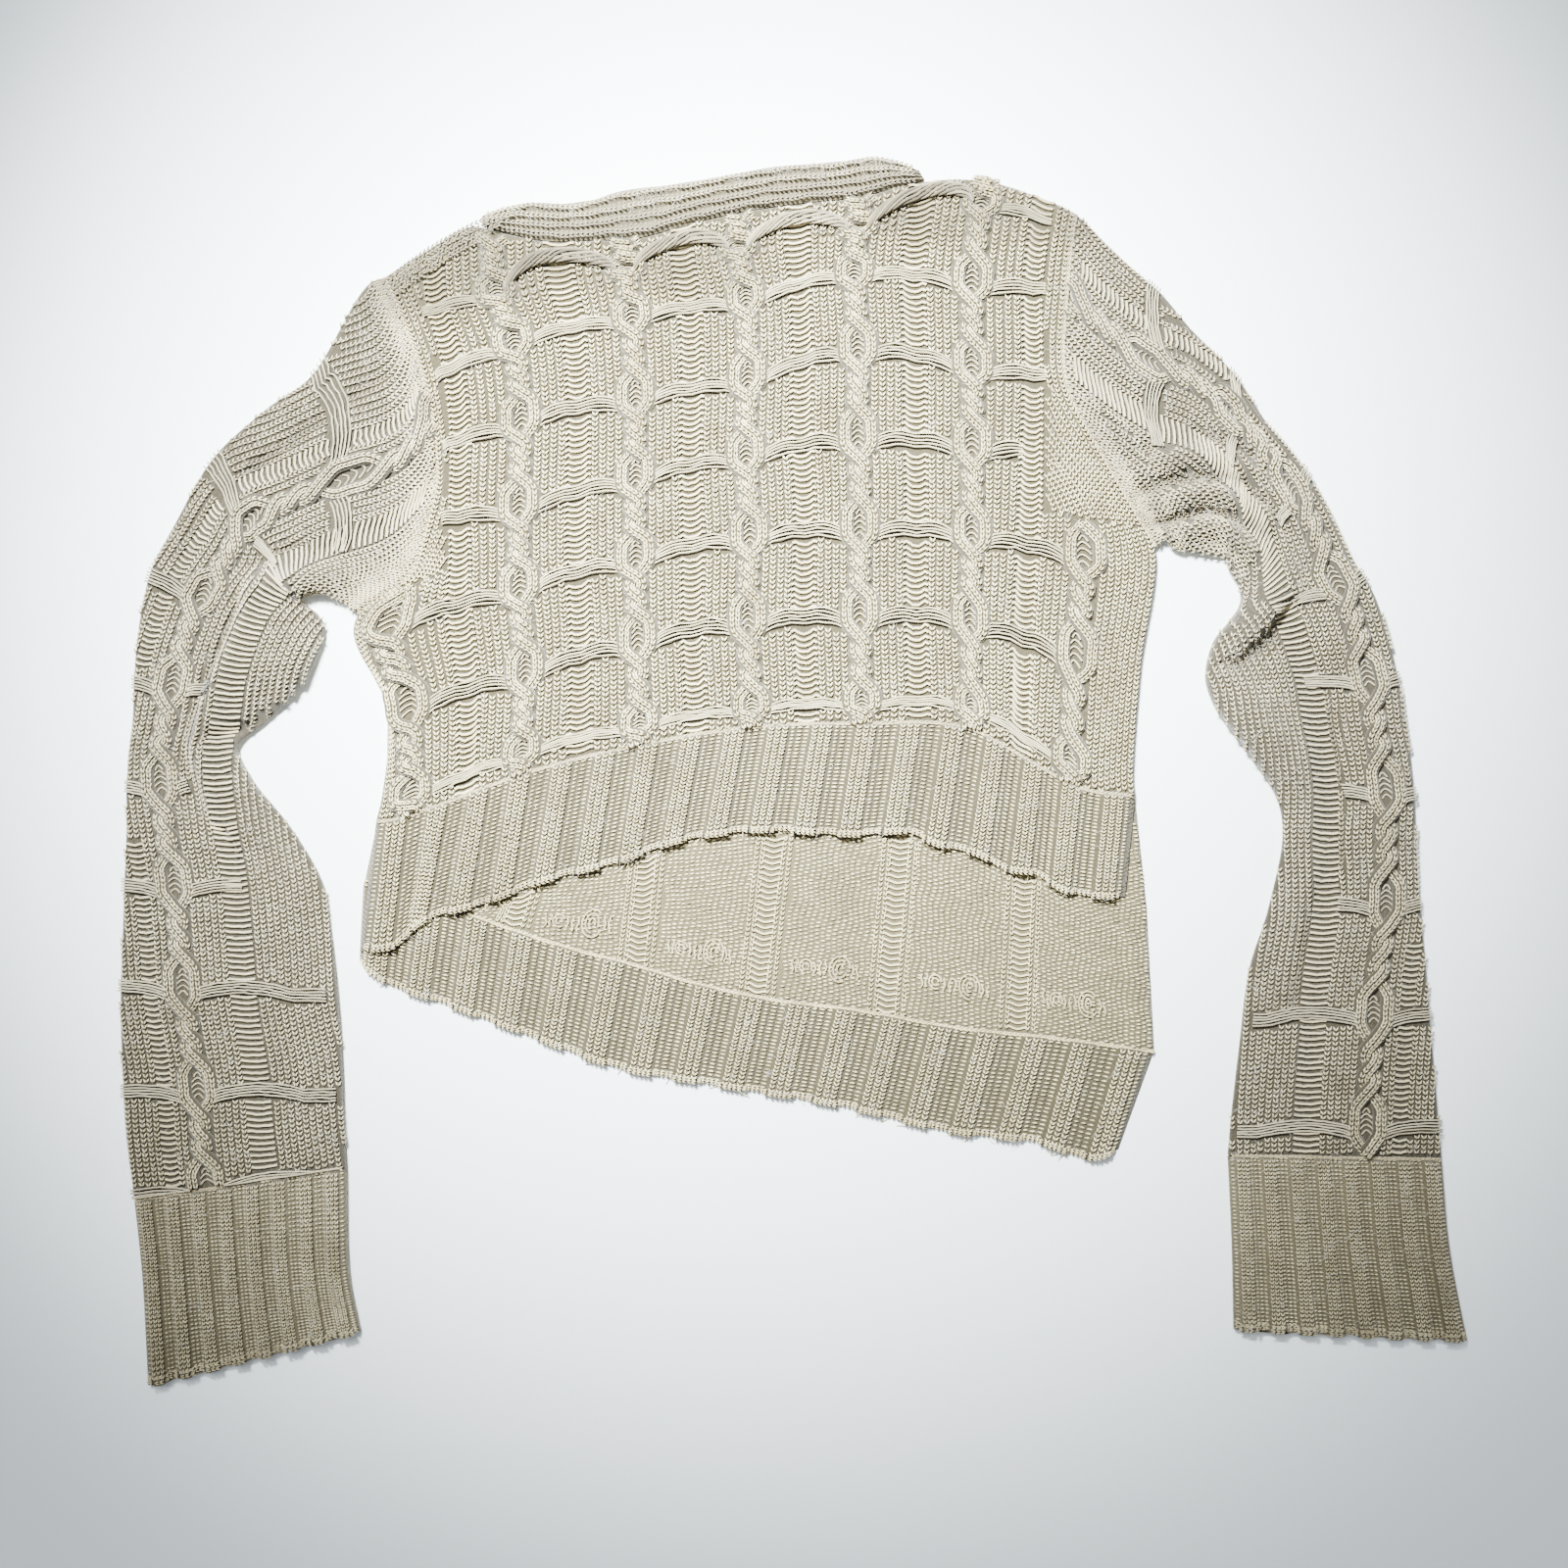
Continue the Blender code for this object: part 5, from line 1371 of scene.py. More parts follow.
def yarn_material(name, dark, light, side_shade_share=SIDE_SHADE_SHARE):
    """Mottled wool and mohair: each stitch's own tone, fine hair that roughens it, painted shade."""
    material, tree, shader = new_material(name, WOOL)
    place = add_node(tree, "ShaderNodeTexCoord").outputs["Object"]
    mottle = noise(tree, place, 60.0, 3.0)
    hair = noise(tree, place, 1400.0, 4.0, 0.7)
    tone = maths(tree, "ADD", attribute(tree, "tone"), ranged(tree, mottle, 0.3, 0.7, -0.14, 0.14))
    tone = maths(tree, "ADD", tone, ranged(tree, hair, 0.3, 0.7, -0.2, 0.2))
    colour = mix_colour(tree, ranged(tree, tone, 0.1, 0.9, 0.0, 1.0), dark, light)
    # Painted shade: tones below 0.1, set low in creases and shaded spots, go towards a darker colour
    lit = ranged(tree, tone, -0.3, 0.1, 0.0, 1.0)
    colour = mix_colour(tree, lit, shares_of(dark, CREASE_SHADE_SHARE), colour)
    # Painted shade: the yarn darkens where its surface faces away from the way out of the cloth
    rise = ranged(tree, attribute(tree, "rise"), 0.05, 0.72, 0.0, 1.0)
    colour = mix_colour(tree, rise, shares_of(dark, side_shade_share), colour)
    feed(tree, shader.inputs["Base Color"], colour)
    add_bump(tree, shader, hair, 0.0004)
    return material


def cloth_material(name, dark, light):
    """The cloth under the stitches: painted shade in their gaps, and V stitches where it shows bare.
    """
    material, tree, shader = new_material(name, WOOL)
    place = add_node(tree, "ShaderNodeTexCoord").outputs["Object"]
    uv = add_node(tree, "ShaderNodeUVMap", uv_map="knit").outputs["UV"]
    split = add_node(tree, "ShaderNodeSeparateXYZ", {"Vector": uv}).outputs
    across = maths(tree, "FRACT", split["X"])
    leg = maths(tree, "ABSOLUTE", maths(tree, "SUBTRACT", across, 0.5))
    slant = maths(tree, "ADD", split["Y"], maths(tree, "MULTIPLY", leg, 1.2))
    wave = maths(tree, "PINGPONG", slant, 0.5)
    column = maths(tree, "SUBTRACT", 1.0, maths(tree, "MULTIPLY", leg, 1.6))
    height = maths(tree, "MULTIPLY", wave, column)
    fleck = noise(tree, place, 700.0, 4.0, 0.7)
    mottle = noise(tree, place, 60.0, 3.0)
    # Painted shade: the bare knit is darker in the low parts of its pattern
    share = maths(tree, "ADD", ranged(tree, height, 0.05, 0.4, 0.1, 0.9),
                  ranged(tree, mottle, 0.3, 0.7, -0.15, 0.15))
    bare = mix_colour(tree, share, dark, light)
    gap = ranged(tree, fleck, 0.3, 0.7, 0.0, 1.0)
    gap_shade = mix_colour(tree, gap, shares_of(dark, GAP_SHADE_SHARE), shares_of(dark, 2 * GAP_SHADE_SHARE))
    # Where the cloth is not bare, under the stitches, it takes the painted gap shade
    colour = mix_colour(tree, attribute(tree, "bare"), gap_shade, bare)
    feed(tree, shader.inputs["Base Color"], colour)
    rough = maths(tree, "ADD", height, maths(tree, "MULTIPLY", fleck, 0.3))
    add_bump(tree, shader, rough, 0.0012)
    return material


cream_yarn = yarn_material("cream_yarn", *CREAM)
# A darker copy of the cream yarn: painted shade
sleeve_yarn = yarn_material("sleeve_yarn", *SHADED_CREAM, SLEEVE_SIDE_SHADE_SHARE)
inside_yarn = yarn_material("inside_yarn", (0.455, 0.373, 0.177), (0.81, 0.718, 0.395))
# Darker copies of the yarn for the bars: painted shade that keeps the floats, on top in the light, no
# brighter than the blocks
bar_yarn = yarn_material("bar_yarn", (0.37, 0.32, 0.19), (0.56, 0.495, 0.325))
sleeve_bar_yarn = yarn_material("sleeve_bar_yarn", (0.29, 0.25, 0.155), (0.48, 0.425, 0.29))
shade_yarn = yarn_material("shade_yarn", (0.13, 0.105, 0.062), (0.31, 0.26, 0.165))
hair_yarn = yarn_material("hair_yarn", (0.6, 0.56, 0.48), (0.86, 0.82, 0.73))
cream_cloth = cloth_material("cream_cloth", *CREAM)
# A darker copy of the cream cloth: painted shade
sleeve_cloth_yarn = cloth_material("sleeve_cloth_yarn", *SHADED_CREAM)

knit_v = stitch_tree("knit_stitches", (-1, 1), 3.25, 1.12, 1.8, 0.42, 0.58, 0.2)
rope_v = stitch_tree("rope_stitches", (-1, 1), 3.9, 1.2, 1.8, 0.25, 0.6, 0.14)
purl_bump = stitch_tree("purl_bumps", (1,), 3.1, 1.35, 1.3, 0.0, 0.0, 0.0)
yarn_lengths = yarn_tree("yarn_lengths", 5, 0.6)
rung_lengths = yarn_tree("ladder_rungs", 4, 0.6)
hair_lengths = yarn_tree("mohair", 3, 0.085)


# Laying stitches

def strands(cloth, rows, below, number, across_at, stitches, paths, lift=0.0):
    """Both strands of a cable along rows, which lie below millimetres past the eye of a number."""
    for across, lifts in strand_at(below, number):
        spot = cloth.read(rows, across_at(across))
        path = spot.point + spot.out * (lifts + lift)[:, None]
        lengths = run_lengths(path)
        count = int(lengths[-1] / COURSE)
        marks = (np.arange(count) + 0.5) * lengths[-1] / count
        points, outs = read_along(marks, lengths, path), read_along(marks, lengths, spot.out)
        tangents = np.gradient(points, axis=0)
        tangents /= np.linalg.norm(tangents, axis=1)[:, None]
        sides = np.cross(tangents, outs)
        sides /= np.linalg.norm(sides, axis=1)[:, None]
        outs = np.cross(sides, tangents)
        paths.append((points, sides * -1.0, outs))
        for sign in (-1.0, 1.0):
            spots = points + sides * sign * STRAND_WALE / 2 + outs * 0.1
            leans = outs * 0.92 + sides * sign * 0.36
            stitches.add(spots, -tangents, leans, np.ones((count, 3)), 0.05, 0.03)


def courses(cloth, row_marks, columns, level):
    """Rows of a wale that are one course apart, counted from a level; columns follow the rows."""
    lengths = cloth.lengths(row_marks, columns)
    start = np.interp(level, row_marks, lengths)
    first = np.ceil((0.7 - start) / COURSE)
    last = np.floor((lengths[-1] - 0.9 - start) / COURSE)
    marks = start + np.arange(first, last + 1) * COURSE
    return np.interp(marks, lengths, row_marks), np.interp(marks, lengths, columns)


def front_wales():
    """Cable coordinates of the front's wales below the armpits, and the width that each has."""
    wales = [(tile + x / PITCH, BLOCK_WALE / PITCH) for tile in range(TILES) for x in BLOCK_WALES]
    wales += [(-x / LEFT_OF_CABLES, LEFT_WALE / LEFT_OF_CABLES) for x in LEFT_WALES]
    wales += [(LAST_CABLE + x / RIGHT_OF_CABLES, RIGHT_WALE / RIGHT_OF_CABLES)
              for x in RIGHT_WALES]
    return wales


def front_stitches(cloth, stitches):
    """Columns of V stitches of the front's blocks and sides."""
    levels = np.linspace(0.02, LOWEST_KNIT, 376)
    for column, step in front_wales():
        t, s = courses(cloth, levels, np.full(len(levels), column), 4.0)
        spot = cloth.read(t, s)
        squeezed = ((s < SIDE_LINES[0]) | (s > SIDE_LINES[1])) & (t < CABLES_FROM_LEVEL)
        keep = ~on_front_cable(s, t) & ~under_front_bar(s, t) & ~squeezed
        width = np.clip(0.95 * spot.column_step * step / WALE, 0.6, 1.3)
        # The bump lowers the tone: a painted shadow of the neckband and twisted bars on the blocks
        # below
        tone = chance.normal(0.12, 0.1, len(s)) - 0.5 * bump(t, 1.1, 0.45) * bump(s, 3.0, 2.3)
        stitches.on(spot, keep, STITCH_LIFT, (width, 1.0, 1.0), tone)
    for edge, line in zip(FRONT_EDGES, SIDE_WALES_TO):
        side_wales(cloth, stitches, edge, line)


def side_wales(cloth, stitches, edge, line):
    """Wales along an armhole, from the front's edge to the outermost ladder."""
    levels = np.linspace(0.02, CABLES_FROM_LEVEL, 120)
    across = edge + (line - edge) * np.linspace(0.0, 1.0, 121)
    inside = [run_lengths(cloth.read(level, across).point[:, :2]) for level in levels]
    for number in range(SIDE_WALE_COUNT):
        away = 2.0 + SIDE_WALE * number
        column = np.array([np.interp(away, lengths, across) for lengths in inside])
        fits = np.array([lengths[-1] - 0.8 > away for lengths in inside], float)
        t, s = courses(cloth, levels, column, 4.0)
        keep = (np.interp(t, levels, fits) > 0.5) & ~under_front_bar(s, t)
        tone = chance.normal(0.05, 0.12, len(t))
        stitches.on(cloth.read(t, s), keep, STITCH_LIFT, (0.98, 1.0, 1.0), tone)


def front_cables(cloth, stitches, paths, yarns):
    for column in range(LAST_CABLE + 1):
        start = CABLES_FROM_LEVEL + 0.04 if column in (0, LAST_CABLE) else 0.12
        levels = np.arange(start, 7.47, 0.02)
        number = np.floor(levels)
        strands(cloth, levels, (levels - number) * ROW_HEIGHT, number,
                lambda x, c=column: cable_coordinate(c, x), stitches, paths)
        for row in range(1, LAST_ROW + 1):
            if row > start:
                eye_loops(cloth, row, column, yarns)


def eye_loops(cloth, row, column, yarns):
    """Small loops that show inside an eye."""
    for below, half in EYE_LOOPS:
        if row + below / ROW_HEIGHT > 7.45:
            continue
        x = np.linspace(-half, half, 7)
        levels = row + (below - LOOP_ARCH * np.cos(x / half * np.pi / 2)) / ROW_HEIGHT
        yarns.on(cloth.read(levels, cable_coordinate(column, x)), 0.9, -0.35, 0.85)


def twisted_bar(cloth, tile, yarns):
    """The first bar under the neckband, pulled up and twisted into a rope between two cables."""
    x = np.linspace(5.0, PITCH - 5.0, 26)
    u = (x - x[0]) / (x[-1] - x[0])
    levels = TWIST_LEVEL - TWIST_RISE * np.sin(np.pi * u) ** 0.7
    spot = cloth.read(levels, tile + x / PITCH)
    along = run_lengths(spot.point)
    slim = 0.55 + 0.45 * np.sin(np.pi * u) ** 0.5
    middle = spot.point + spot.out * TWIST_LIFT
    for k in range(TWIST_YARNS):
        sway = 0.06 * np.sin(along / 5.0 + tile)
        turn = 2 * np.pi * (k / TWIST_YARNS + along / TWIST_PITCH + sway)
        aside = (TWIST_RADIUS * slim * np.cos(turn))[:, None]
        up = (0.62 * TWIST_RADIUS * slim * np.sin(turn))[:, None]
        tone = 0.1 + chance.normal(0.0, 0.2)
        yarns.add(middle + spot.down * aside + spot.out * up, tone, 1.25)


def is_twisted(row, tile):
    return row == 1 and tile in TWIST_TILES


def front_bars(cloth, yarns):
    """Floats of yarn of the front's bars, but for the twisted ones."""
    for row in range(1, LAST_ROW + 1):
        for tile in range(TILES):
            if is_twisted(row, tile):
                continue
            start, end = bar_span(tile, row)
            x = np.linspace(start, end, max(6, int((end - start) / 2.9)))
            u = (x - start) / (end - start)
            fan = 0.8 + 0.25 * np.sin(np.pi * u)
            for k in range(BAR_FLOATS):
                off = bar_middle(x) + (k - (BAR_FLOATS - 1) / 2) * FLOAT_SPACING * fan
                off = off + chance.normal(0.0, 0.12, len(x))
                levels = np.minimum(row + off / ROW_HEIGHT, 7.48)
                lift = BAR_LIFT + 0.25 * np.sin(k * 2.1) - 1.0 * (1 - np.sin(np.pi * u)) ** 3
                # Lower tone: painted shade on the floats, with a random part
                tone = -0.25 + chance.normal(0.0, 0.14)
                yarns.on(cloth.read(levels, tile + x / PITCH), lift, tone, 0.84)


def front_rungs(cloth, yarns):
    """Wavy rungs of the ladders, with a small hump at both ends and a sag between."""
    f = np.linspace(0.0, 1.0, 9)
    x = LADDER_FROM - 1.2 + f * (LADDER_TO - LADDER_FROM + 2.4)
    shape = 1.0 * np.sin(np.pi * f) - 1.3 * (bump(f, 0.14, 0.17) + bump(f, 0.86, 0.17))
    lift = 0.75 - 0.25 * np.sin(np.pi * f)
    fine = np.linspace(0.05, 7.46, 300)
    for tile in range(TILES):
        lengths = cloth.lengths(fine, tile + 0.5)
        for level in np.interp(np.arange(0.5, lengths[-1], RUNG_SPACING), lengths, fine):
            row = int(np.clip(round(level), 1, LAST_ROW))
            start, end = bar_span(tile, row)
            under = in_bar(LADDER_MIDDLE, (level - row) * ROW_HEIGHT, 3.6, 4.6)
            if start < LADDER_MIDDLE < end and under and not is_twisted(row, tile):
                continue
            wobble = chance.normal(0.0, 0.15, len(f))
            levels = np.clip(level + (shape + wobble) / ROW_HEIGHT, 0.0, LOWEST_KNIT)
            yarns.on(cloth.read(levels, tile + x / PITCH), lift, 0.0, 1.45)


def ribs(cloth, stitches, bumps, count, course_count, shown=None, first=0.012, last=0.965,
         ends=0.0, fill=0.92):
    """Knit ribs of three wales with purl gutters between, over a hem or cuff."""
    depths = first + (last - first) * (np.arange(course_count) + 0.5) / course_count
    depths = cloth.rows[0] + depths * (cloth.rows[-1] - cloth.rows[0])
    knit = [(k + 0.5 + off) / count for k in range(count) for off in RIB_WALES]
    purl = [(k + off) / count for k in range(count + 1) for off in GUTTER_WALES]
    purl = [share for share in purl if ends < share < 1.0 - ends]
    for shares, is_knit in ((knit, True), (purl, False)):
        s, t = np.meshgrid(np.array(shares), depths)
        spot = cloth.read(t, s)
        keep = shown(spot) if shown else None
        scale = np.clip(spot.column_step * RIB_WALES[-1] / count / WALE, 0.7, 1.3)
        if is_knit:
            tall = np.clip(spot.row_step * (depths[1] - depths[0]) / COURSE, 0.7, 1.5)
            tone = chance.normal(0.04, 0.1, s.shape)
            stitches.on(spot, keep, STITCH_LIFT, (fill * scale, tall, 1.0), tone)
        else:
            # Purl gutters get a lower tone: painted shade in the recesses between the ribs
            tone = chance.normal(-0.16, 0.12, s.shape)
            bumps.on(spot, keep, 0.6, (fill, scale, 1.1), tone, sideways=True)


def cast_off(cloth, stitches, shown=None):
    """The rolled edge: two chains of stitches lying along it."""
    span = cloth.rows[-1] - cloth.rows[0]
    row = cloth.rows[-1] - 0.022 * span
    columns = np.linspace(0.004, 0.996, 2000)
    lengths = run_lengths(cloth.read(row, columns).point[:, :2])
    at = np.interp(np.arange(1.0, lengths[-1] - 1.0, 2.4), lengths, columns)
    for depth, lift in ((row, 0.75), (row - 0.02 * span, 0.7)):
        spot = cloth.read(depth, at)
        keep = shown(spot) if shown else None
        stitches.on(spot, keep, lift, (0.85, 1.05, 1.2), -0.12, sideways=True)


def inside_knot(cloth, knot, yarns):
    """The back of a cable crossing: curled yarn beside short upright stitches."""
    height = np.linalg.norm(np.diff(cloth.read([0.0, 1.0], knot.column).point, axis=0))
    lines = []
    for x, y, wide, tall in KNOT_RINGS:
        turn = np.linspace(0.0, 1.6 * np.pi, 12) + chance.uniform(-0.6, 0.9)
        lines.append((x + wide * np.cos(turn), y + tall * np.sin(turn)))
    for x in KNOT_UPRIGHTS:
        y = np.linspace(-3.4, 3.4, 6) + chance.normal(0.0, 0.6)
        lines.append((x + 0.5 * np.sin(y + x), y))
    for x, y in lines:
        spot = cloth.read(knot.depth - y / height, knot.column + x / INSIDE_PITCH)
        lift = 0.8 + 0.35 * np.sin(y + x) + chance.normal(0.0, 0.1)
        yarns.on(spot, lift, -0.42, 0.85)


def beside_front_hem(x, y):
    """Whether the back shows at a place left or right of the front's hem."""
    past_right = x > np.interp(y, *HEM_RIGHT_SIDE) + 0.8
    past_left = x < np.interp(y, *HEM_LEFT_SIDE) - 0.8
    return (y < BESIDE_HEM_FROM) & (past_right | past_left)


def back_inside(cloth, bumps, stitches, yarns):
    """Purl side of the back, with its ladders and the backs of its cables."""
    marks = np.linspace(-1.2, 1.0, 89)
    for number, column in enumerate(np.arange(-1.27, 5.08, PURL_COLUMN)):
        lengths = cloth.lengths(marks, column)
        lowest = 1.4 + (number % 2) * PURL_COURSE / 2
        heights = np.arange(lowest, lengths[-1] - 0.8, PURL_COURSE)
        heights = heights + chance.normal(0.0, 0.16, len(heights))
        depths = np.interp(lengths[-1] - heights, lengths, marks)
        sway = 0.6 * np.sin(heights / 3.1 + column * 7.0) + 0.5 * np.sin(heights / 7.3 + column * 3.0)
        spot = cloth.read(depths, column + sway / INSIDE_PITCH)
        off = (column - np.clip(np.round(column), 0, 4)) * INSIDE_PITCH
        x, y = spot.point[:, 0], spot.point[:, 1]
        in_sight = (edge_height(FRONT_HEM_EDGE, x) - y > 0.5) | beside_front_hem(x, y)
        keep = in_sight & ~((depths > 0.0) & (abs(off) < INSIDE_LADDER_ROOM))
        tone = chance.normal(-0.04, 0.2, len(depths))
        tone = tone + 0.08 * np.sin(depths * 23.0 + 3.0 * np.sin(column * 5.0))
        lift = 0.35 + chance.normal(0.0, 0.12, (len(depths), 1))
        bumps.on(spot, keep, lift[keep], (0.94, 0.98, 1.15), tone, sideways=True)
    for knot in INSIDE_KNOTS:
        inside_knot(cloth, knot, yarns)
    fine = np.linspace(0.01, 0.99, 60)
    f = np.linspace(-1.0, 1.0, 7)
    for ladder in range(5):
        lengths = cloth.lengths(fine, ladder)
        for share in np.interp(np.arange(0.6, lengths[-1], RUNG_SPACING), lengths, fine):
            rows = share + 0.7 * np.cos(f * np.pi) / lengths[-1]
            columns = ladder + f * INSIDE_LADDER_HALF / INSIDE_PITCH
            yarns.on(cloth.read(rows, columns), 0.5, 0.0, 1.2)
        depths = np.interp(np.arange(0.4, lengths[-1], COURSE), lengths, fine)
        for side in INSIDE_CHAINS:
            spot = cloth.read(depths, ladder + side / INSIDE_PITCH)
            stitches.on(spot, None, 0.7, (0.85, 1.0, 1.0), 0.06)


def sleeve_below(shape, rows):
    """How far rows lie past the last eye, scaled to the front's row height, and its number."""
    marks = np.array([eye.along for eye in shape.eyes], float)
    marks = np.concatenate([[marks[0] - 50.0], marks, [marks[-1] + 52.0]])
    number = np.clip(np.searchsorted(marks, rows, side="right") - 1, 0, len(marks) - 2)
    share = (rows - marks[number]) / (marks[number + 1] - marks[number])
    return np.clip(share, 0.0, 0.999) * ROW_HEIGHT, number


def ladder_fits(cable, width, ladder):
    """Whether a whole ladder lies on the sleeve's upper wall."""
    low, high = cable + ladder[0] / width, cable + ladder[1] / width
    return (low > 0.02) & (high < 0.98)


def sleeve_bar_middle(off, number):
    """How far past its eye a bar runs; the first one slants away from the armhole."""
    u = np.clip((np.abs(off) - BAR_END) / 45.0, 0.0, 1.0)
    slant = 0.45 * np.abs(off) if number == 0 else 0.0
    return BAR_SAG - SLEEVE_BAR_ARCH * np.sin(np.pi * u) ** 0.7 + slant


def sleeve_wales(cloth, shape, stitches):
    """Wales of V stitches on both sides of a sleeve's cable, fewer where the cloth is bunched."""
    marks = np.linspace(1.5, shape.length - 1.5, 300)
    width, cable = shape.span(marks)
    creases = [fold for fold in shape.folds if fold.height < 0]
    inner_side = np.arange(FIRST_WALE, 190.0, SLEEVE_WALE)
    outer_side = -np.arange(FIRST_WALE, 80.0, SLEEVE_WALE)
    for off in np.concatenate([inner_side, outer_side]):
        wanted = cable + off / width
        row, share = courses(cloth, marks, np.clip(wanted, 0.0, 1.0), shape.length / 2)
        wide, at = np.interp(row, marks, width), np.interp(row, marks, wanted)
        keep = np.minimum(at, 1.0 - at) * wide > 0.6
        keep &= abs(off) > cable_half(sleeve_below(shape, row)[0])
        at_cable = np.interp(row, marks, cable)
        for ladder in (INNER_LADDER, OUTER_LADDER):
            if ladder[0] < off < ladder[1]:
                keep &= ~(ladder_fits(at_cable, wide, ladder) & (row > LADDERS_FROM))
        for number, eye in enumerate(shape.eyes[1:], 1):
            past = row - eye.along - sleeve_bar_middle(off, number)
            keep &= ~((past > -3.2) & (past < 5.2) & (share < eye.bar_to + 0.02))
        spot = cloth.read(row, share)
        hole = (spot.point[:, :2] - SHOULDER_HOLE) / SHOULDER_HOLE_HALF
        keep &= (hole ** 2).sum(axis=1) > 1.0
        skew = np.abs(spot.down[:, 0] * spot.side[:, 1] - spot.down[:, 1] * spot.side[:, 0])
        room = SLEEVE_WALE * skew * spot.column_step / wide
        every = np.where(room > 2.6, 1, np.where(room > 1.3, 2, 4))
        keep &= np.mod(round((abs(off) - FIRST_WALE) / SLEEVE_WALE), every) == 0
        wale = np.clip(0.95 * room * every / WALE, 0.8, 1.2)
        # Painted shade: the tone drops in the folds' creases and where bunched wales crowd together
        tone = 0.42 * fold_relief(spot.point[:, :2], creases) + chance.normal(0.0, 0.08, len(row))
        tone -= 0.6 * (1.0 - smooth_step(1.2, 3.2, room))
        stitches.on(spot, keep, STITCH_LIFT, (wale, 1.0, 1.0), tone)


def sleeve_knit(cloth, shape, stitches, cables, paths, yarns, rungs):
    """All that is knitted on a sleeve's upper wall."""
    sleeve_wales(cloth, shape, stitches)
    fine = np.arange(2.5, shape.length - 2.0, 0.8)
    width, cable = shape.span(fine)
    below, number = sleeve_below(shape, fine)
    strands(cloth, fine, below, number, lambda x: cable + x / width, cables, paths, -0.3)
    for number, eye in enumerate(shape.eyes):
        sleeve_eye(cloth, shape, number, eye, yarns)
    for ladder in (INNER_LADDER, OUTER_LADDER):
        sleeve_rungs(cloth, shape, ladder, rungs)


def sleeve_eye(cloth, shape, number, eye, yarns):
    """Floats of an eye's bar on both sides of the cable, and the loops in the eye."""
    width, cable = [part[0] for part in shape.span([eye.along])]
    outer_end, inner_end = -cable * width + 0.5, (eye.bar_to - cable) * width
    for start, end in ((-BAR_END, outer_end), (BAR_END, inner_end)):
        if abs(end - start) < 4.0 or number == 0:
            continue
        off = np.linspace(start, end, max(5, int(abs(end - start) / 3.0)))
        for k in range(BAR_FLOATS):
            rows = eye.along + sleeve_bar_middle(off, number) + (k - 2) * FLOAT_SPACING * 0.92
            rows = np.clip(rows + chance.normal(0.0, 0.12, len(off)), 1.0, shape.length - 1.5)
            lift = BAR_LIFT + 0.25 * np.sin(k * 2.1)
            # Lower tone: painted shade on the floats, with a random part
            tone = -0.2 + chance.normal(0.0, 0.14)
            yarns.on(cloth.read(rows, cable + off / width), lift, tone, 0.8)
    for below, half in EYE_LOOPS:
        x = np.linspace(-half, half, 7)
        rows = eye.along + below - LOOP_ARCH * np.cos(x / half * np.pi / 2)
        if rows.min() < 1.5 or rows.max() > shape.length - 2.0:
            continue
        yarns.on(cloth.read(rows, cable + x / width), 0.5, -0.35, 0.8)


def sleeve_rungs(cloth, shape, ladder, rungs):
    """Rungs of a sleeve's ladder, evenly spaced along its middle."""
    low, high = ladder
    f = np.linspace(0.0, 1.0, 7)
    off = low - 0.8 + f * (high - low + 1.6)
    fine = np.arange(1.4, shape.length - 2.0, 0.5)
    width, cable = shape.span(fine)
    lengths = cloth.lengths(fine, np.clip(cable + off.mean() / width, 0.0, 1.0))
    first = np.interp(LADDERS_FROM, fine, lengths) + 0.5
    bar = sleeve_bar_middle(off.mean(), 1)
    for at in np.interp(np.arange(first, lengths[-1], RUNG_SPACING), lengths, fine):
        near = [eye for eye in shape.eyes if abs(at - eye.along - bar) < 3.6]
        width, cable = [part[0] for part in shape.span([at])]
        share = cable + off / width
        under_bar = near and share.max() < near[0].bar_to
        if under_bar or not ladder_fits(cable, width, ladder):
            continue
        rows = at + 0.8 * np.sin(np.pi * f) + chance.normal(0.0, 0.12, len(f))
        rungs.on(cloth.read(rows, share), 0.75, 0.0, 1.35)


def neckband_ribs(cloth, upper, lower, bumps):
    """Ribs that run along the neckband; the lower ones go to a collector of their own."""
    columns = np.linspace(0.01, 0.99, 400)
    lengths = cloth.lengths(0.5, columns)
    at = np.interp(np.arange(1.0, lengths[-1] - 1.0, COURSE), lengths, columns)
    for k in range(NECK_RIBS):
        sway = 0.06 * np.sin(at * 41.0 + 1.7 * k) + 0.05 * np.sin(at * 97.0 + 2.9 * k)
        target, tone = (upper, -0.1) if k < NECK_RIBS / 2 else (lower, 0.3)
        spot = cloth.read((k + 0.5 + sway) / NECK_RIBS, at)
        target.on(spot, None, 0.45, (1.05, 1.0, 1.15), tone, sideways=True)
        if k > 0:
            spot = cloth.read((k + sway) / NECK_RIBS, at)
            # Purl between the neckband's ribs, very dark: painted shade in the gutters
            bumps.on(spot, None, 0.1, (0.9, 0.5, 1.0), -0.7)


